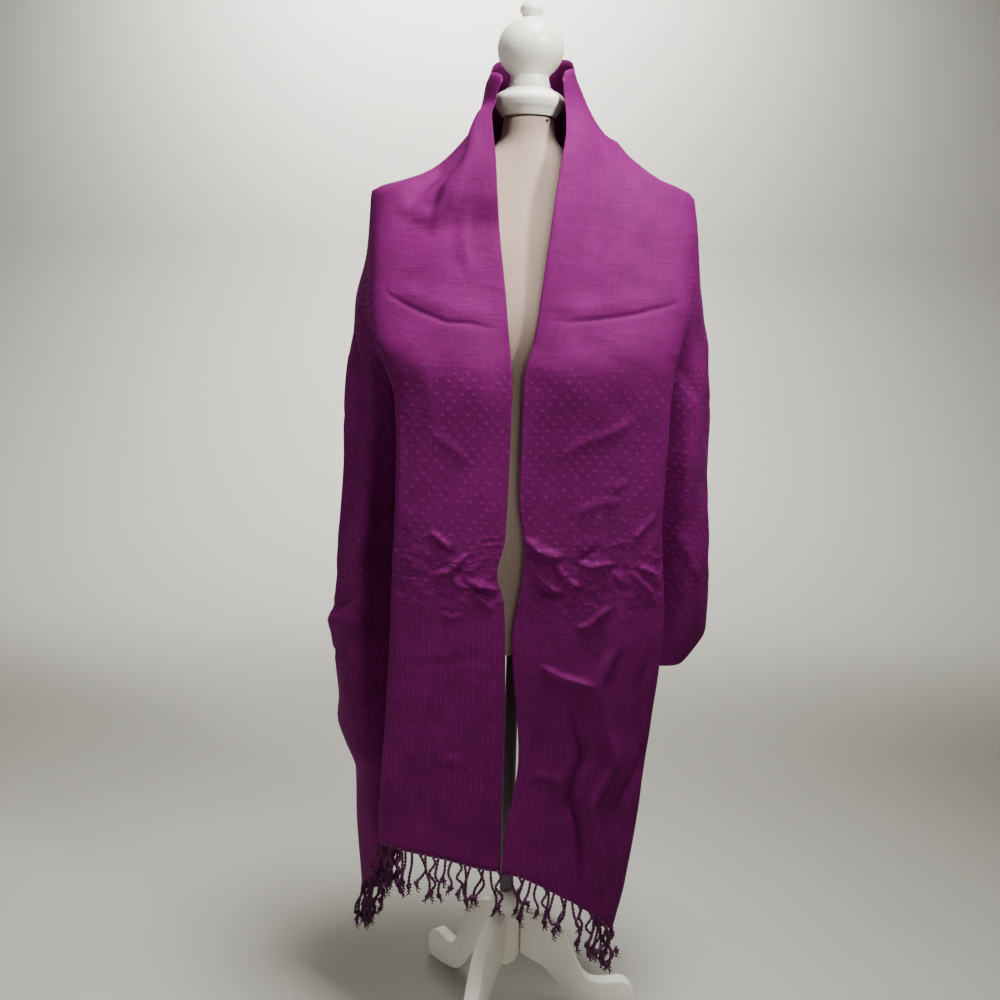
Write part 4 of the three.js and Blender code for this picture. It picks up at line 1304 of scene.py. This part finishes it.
def enamelled_tube(finish):
    """Dark satin enamel on a drawn steel tube, worn a little smoother in patches."""
    material = new_material("satin_enamel_on_steel_tube")
    place = add_node(material, "TexCoord", out="Object")
    worn = add_node(material, "TexNoise", {"Vector": place, "Scale": 60.0, "Detail": 4.0})
    rough = add_node(material, "MapRange", {"Value": worn, "To Min": 0.42, "To Max": 0.62})
    shader = add_node(material, "BsdfPrincipled", {"Base Color": finish.enamel, "Roughness": rough})
    add_node(material, "OutputMaterial", {"Surface": shader})
    return material


def blued_steel():
    """A small blued-steel upholstery pin."""
    material = new_material("blued_steel_pin")
    place = add_node(material, "TexCoord", out="Object")
    worn = add_node(material, "TexNoise", {"Vector": place, "Scale": 1500.0, "Detail": 2.0})
    colour = add_node(material, "ValToRGB", {"Fac": worn},
                      stops=((0.0, linear("#1b1a20")), (1.0, linear("#3a3840"))))
    shader = add_node(material, "BsdfPrincipled",
                      {"Base Color": colour, "Metallic": 1.0, "Roughness": 0.45})
    add_node(material, "OutputMaterial", {"Surface": shader})
    return material


def matt_paper(setting):
    """Seamless matt background paper with a barely uneven tone."""
    material = new_material("matt_background_paper")
    place = add_node(material, "TexCoord", out="Object")
    tone = add_node(material, "TexNoise", {"Vector": place, "Scale": 1.3, "Detail": 3.0})
    uneven = shaded(setting.paper, 0.95, 0.95, 0.94)
    colour = add_node(material, "ValToRGB", {"Fac": tone},
                      stops=((0.3, uneven), (0.7, setting.paper)))
    shader = add_node(material, "BsdfPrincipled", {"Base Color": colour, "Roughness": 0.95})
    add_node(material, "OutputMaterial", {"Surface": shader})
    return material


# ---------------------------------------------------------------- operators
CLOTH_NODES = ("cloth_left_fall", "cloth_left_shoulder", "cloth_neck_and_back",
               "cloth_right_shoulder", "cloth_right_fall")


class STUDIO_OT_set(bpy.types.Operator):
    """Sets the camera, the soft boxes and the paper sweep"""

    bl_idname = "studio.set"
    bl_label = "Set the studio"
    bl_options = {"REGISTER", "UNDO"}

    # Where the camera stands from the form's axis, how far it looks down and how far it leans.
    CAMERA_PLACE = (-21, -1425, 906)
    LOOK_DOWN = 9.46
    LEAN = 1.55
    SENSOR = 36.0
    # Rows of (light, place, target, size, setting with its power, spread in degrees).
    BOXES = (
        ("key_box", (0.34, -0.44, 3.1), (0.02, -0.12, 1.1), 0.8, "key", 55.0),
        ("head_box", (1.15, -1.2, 2.05), (0.0, -0.05, 1.14), 0.3, "head", 30.0),
        ("fill_box", (-2.5, -1.35, 1.45), (0, 0, 0.8), 1.6, "fill", 180.0),
        ("low_box", (0.3, -2.5, 1.05), (0.1, 0, 0.72), 0.5, "low", 18.0),
        ("paper_box", (-0.3, 2.15, 2.9), (-0.2, 2.9, 1.9), 1.2, "paper_light", 120.0),
    )
    AIR_COLOUR = "#eceae6"
    AIR_STRENGTH = 0.12
    # The paper's width and depth, where it turns up, how high it goes and how widely it turns.
    PAPER_SIZE = 9.0
    PAPER_REAR = 2.9
    PAPER_HEIGHT = 5.0
    SWEEP = 1.1
    SWEEP_STEPS = 20
    NEAR = 0.01

    def camera(self, setting):
        aim = (Matrix.Rotation(math.radians(90 - self.LOOK_DOWN), 4, "X")
               @ Matrix.Rotation(math.radians(self.LEAN), 4, "Z"))
        place = AXIS + Vector(self.CAMERA_PLACE) * MM
        bpy.ops.object.camera_add(location=place, rotation=aim.to_euler())
        camera = bpy.context.object
        camera.data.lens = setting.lens
        camera.data.sensor_width = self.SENSOR
        camera.data.dof.use_dof = False
        bpy.context.scene.camera = camera

    def soft_box(self, name, place, target, size, power, spread):
        aim = (Vector(target) - Vector(place)).to_track_quat("-Z", "Y").to_euler()
        bpy.ops.object.light_add(type="AREA", location=place, rotation=aim)
        light = bpy.context.object
        light.name = name
        light.data.shape = "SQUARE"
        light.data.size = size
        light.data.energy = power
        light.data.spread = math.radians(spread)

    def edit_edge(self, piece, holds):
        """Opens a mesh for editing with only that edge selected whose two ends both hold."""
        bpy.ops.object.mode_set(mode="EDIT")
        bpy.ops.mesh.select_mode(type="EDGE")
        bpy.ops.mesh.select_all(action="DESELECT")
        bpy.ops.object.mode_set(mode="OBJECT")
        for edge in piece.data.edges:
            edge.select = all(holds(piece.data.vertices[i].co) for i in edge.vertices)
        bpy.ops.object.mode_set(mode="EDIT")

    def paper(self, setting):
        rear = self.PAPER_REAR - self.NEAR
        deselect()
        bpy.ops.mesh.primitive_plane_add(
            size=self.PAPER_SIZE, location=(0, self.PAPER_REAR - self.PAPER_SIZE / 2, 0))
        sweep = named("paper_sweep")
        settle()
        self.edit_edge(sweep, lambda end: end.y > rear)
        bpy.ops.mesh.extrude_region_move(
            TRANSFORM_OT_translate={"value": (0, 0, self.PAPER_HEIGHT)})
        self.edit_edge(sweep, lambda end: end.y > rear and end.z < self.NEAR)
        bpy.ops.mesh.bevel(offset=self.SWEEP, segments=self.SWEEP_STEPS, affect="EDGES")
        bpy.ops.object.mode_set(mode="OBJECT")
        smooth(sweep)
        sweep.data.materials.append(matt_paper(setting))

    def execute(self, context):
        setting = context.scene.studio_setting
        self.camera(setting)
        for name, place, target, size, power, spread in self.BOXES:
            self.soft_box(name, place, target, size, getattr(setting, power), spread)
        self.paper(setting)
        world = bpy.data.worlds.new("studio_air")
        world.use_nodes = True
        air = world.node_tree.nodes["Background"]
        air.inputs["Color"].default_value = linear(self.AIR_COLOUR)
        air.inputs["Strength"].default_value = self.AIR_STRENGTH
        context.scene.world = world
        return {"FINISHED"}


class SHAWL_OT_drape(bpy.types.Operator):
    """Drapes the woven cloth over the form, creases and all"""

    bl_idname = "shawl.drape"
    bl_label = "Drape the cloth"
    bl_options = {"REGISTER", "UNDO"}

    def execute(self, context):
        sizes = context.scene.shawl_sizes
        cloth = build_cloth(sizes)
        finish_piece(cloth, woven_cloth(sizes), "cloth", *CLOTH_NODES)
        return {"FINISHED"}


class SHAWL_OT_fringe(bpy.types.Operator):
    """Hangs the plied and knotted strands from both ends of the cloth"""

    bl_idname = "shawl.fringe"
    bl_label = "Hang the fringe"
    bl_options = {"REGISTER", "UNDO"}

    # (piece, node it stands for, hem, first and last station, first strand's number)
    RUNS = (
        ("fringe_yarn_left_front", "fringe_left_front", FRONT_HEM, 0.0, 2.9, 0),
        ("fringe_yarn_left_side", "fringe_left_side", BACK_HEM, 3.0, 5.5, 5),
        ("fringe_yarn_right_front", "fringe_right_front", FRONT_HEM, 11.0, 14.0, 3),
    )

    def execute(self, context):
        sizes = context.scene.shawl_sizes
        yarn = twisted_yarn(sizes)
        for name, node, hem, first, last, start in self.RUNS:
            run = build_fringe(name, hem, first, last, start, sizes)
            finish_piece(run, yarn, "fringe", node)
        return {"FINISHED"}


class DRESSFORM_OT_torso(bpy.types.Operator):
    """Shapes the limbless torso in its knitted cover, with the pin at its neck"""

    bl_idname = "dressform.torso"
    bl_label = "Shape the torso"
    bl_options = {"REGISTER", "UNDO"}

    PIN_PLACE = (21, -22.5, 1107)
    PIN_RADIUS = 1.5

    def execute(self, context):
        finish = context.scene.form_finish
        rows = [(height, wide, (front + rear) / 2, (rear - front) / 2)
                for height, wide, front, rear in TORSO_ROWS]
        torso = stack_rings("form_torso_cover", rows, TORSO_SIDES)
        apply_modifier(torso, "SUBSURF", levels=2, render_levels=2)
        smooth(torso)
        finish_piece(torso, cotton_jersey(finish), "form_cover", "form_torso")

        deselect()
        bpy.ops.mesh.primitive_uv_sphere_add(segments=16, ring_count=10,
                                             radius=self.PIN_RADIUS * MM,
                                             location=AXIS + Vector(self.PIN_PLACE) * MM)
        pin = named("neck_pin")
        settle()
        smooth(pin)
        finish_piece(pin, blued_steel(), "painted_wood")
        return {"FINISHED"}


class DRESSFORM_OT_woodwork(bpy.types.Operator):
    """Turns the neck cap, finial, socket, pole and hub, and saws the three legs"""

    bl_idname = "dressform.woodwork"
    bl_label = "Turn and saw the woodwork"
    bl_options = {"REGISTER", "UNDO"}

    TURNED = (
        ("turned_neck_cap", "neck_cap", CAP_ROWS),
        ("turned_finial", "finial", FINIAL_ROWS),
        ("turned_pole_socket", "pole_socket", SOCKET_ROWS),
        ("turned_hub", "stand_hub", HUB_ROWS),
    )

    def execute(self, context):
        finish = context.scene.form_finish
        paint = painted_wood(finish)
        for name, node, rows in self.TURNED:
            finish_piece(turn_on_lathe(name, rows), paint, "painted_wood", node)
        pole = turn_on_lathe("turned_pole", POLE_ROWS)
        finish_piece(pole, enamelled_tube(finish), "enamelled_tube", "pole")
        for side, degrees in LEG_HEADINGS.items():
            leg = saw_leg(f"sawn_leg_{side}", math.radians(degrees), finish)
            finish_piece(leg, paint, "painted_wood", f"stand_leg_{side}")
        return {"FINISHED"}


class SHAWL_PT_making(bpy.types.Panel):
    """Lists the steps and the sizes behind them"""

    bl_idname = "SHAWL_PT_making"
    bl_label = "Shawl on a dress form"
    bl_space_type = "VIEW_3D"
    bl_region_type = "UI"
    bl_category = "Shawl"

    def draw(self, context):
        scene = context.scene
        for operator in OPERATORS:
            self.layout.operator(operator.bl_idname)
        for label, group in (("Shawl", scene.shawl_sizes), ("Form and stand", scene.form_finish),
                             ("Studio", scene.studio_setting)):
            box = self.layout.box()
            box.label(text=label)
            for name in group.__annotations__:
                box.prop(group, name)


OPERATORS = (STUDIO_OT_set, DRESSFORM_OT_torso, DRESSFORM_OT_woodwork, SHAWL_OT_drape,
             SHAWL_OT_fringe)
GROUPS = {"shawl_sizes": ShawlSizes, "form_finish": FormFinish, "studio_setting": StudioSetting}


def register():
    for made in (*GROUPS.values(), *OPERATORS, SHAWL_PT_making):
        bpy.utils.register_class(made)
    for name, group in GROUPS.items():
        setattr(bpy.types.Scene, name, PointerProperty(type=group))


def unregister():
    for name in GROUPS:
        delattr(bpy.types.Scene, name)
    for made in (SHAWL_PT_making, *reversed(OPERATORS), *reversed(GROUPS.values())):
        bpy.utils.unregister_class(made)


def main():
    register()
    bpy.ops.studio.set()
    bpy.ops.dressform.torso()
    bpy.ops.dressform.woodwork()
    bpy.ops.shawl.drape()
    bpy.ops.shawl.fringe()


if __name__ == "__main__":
    main()
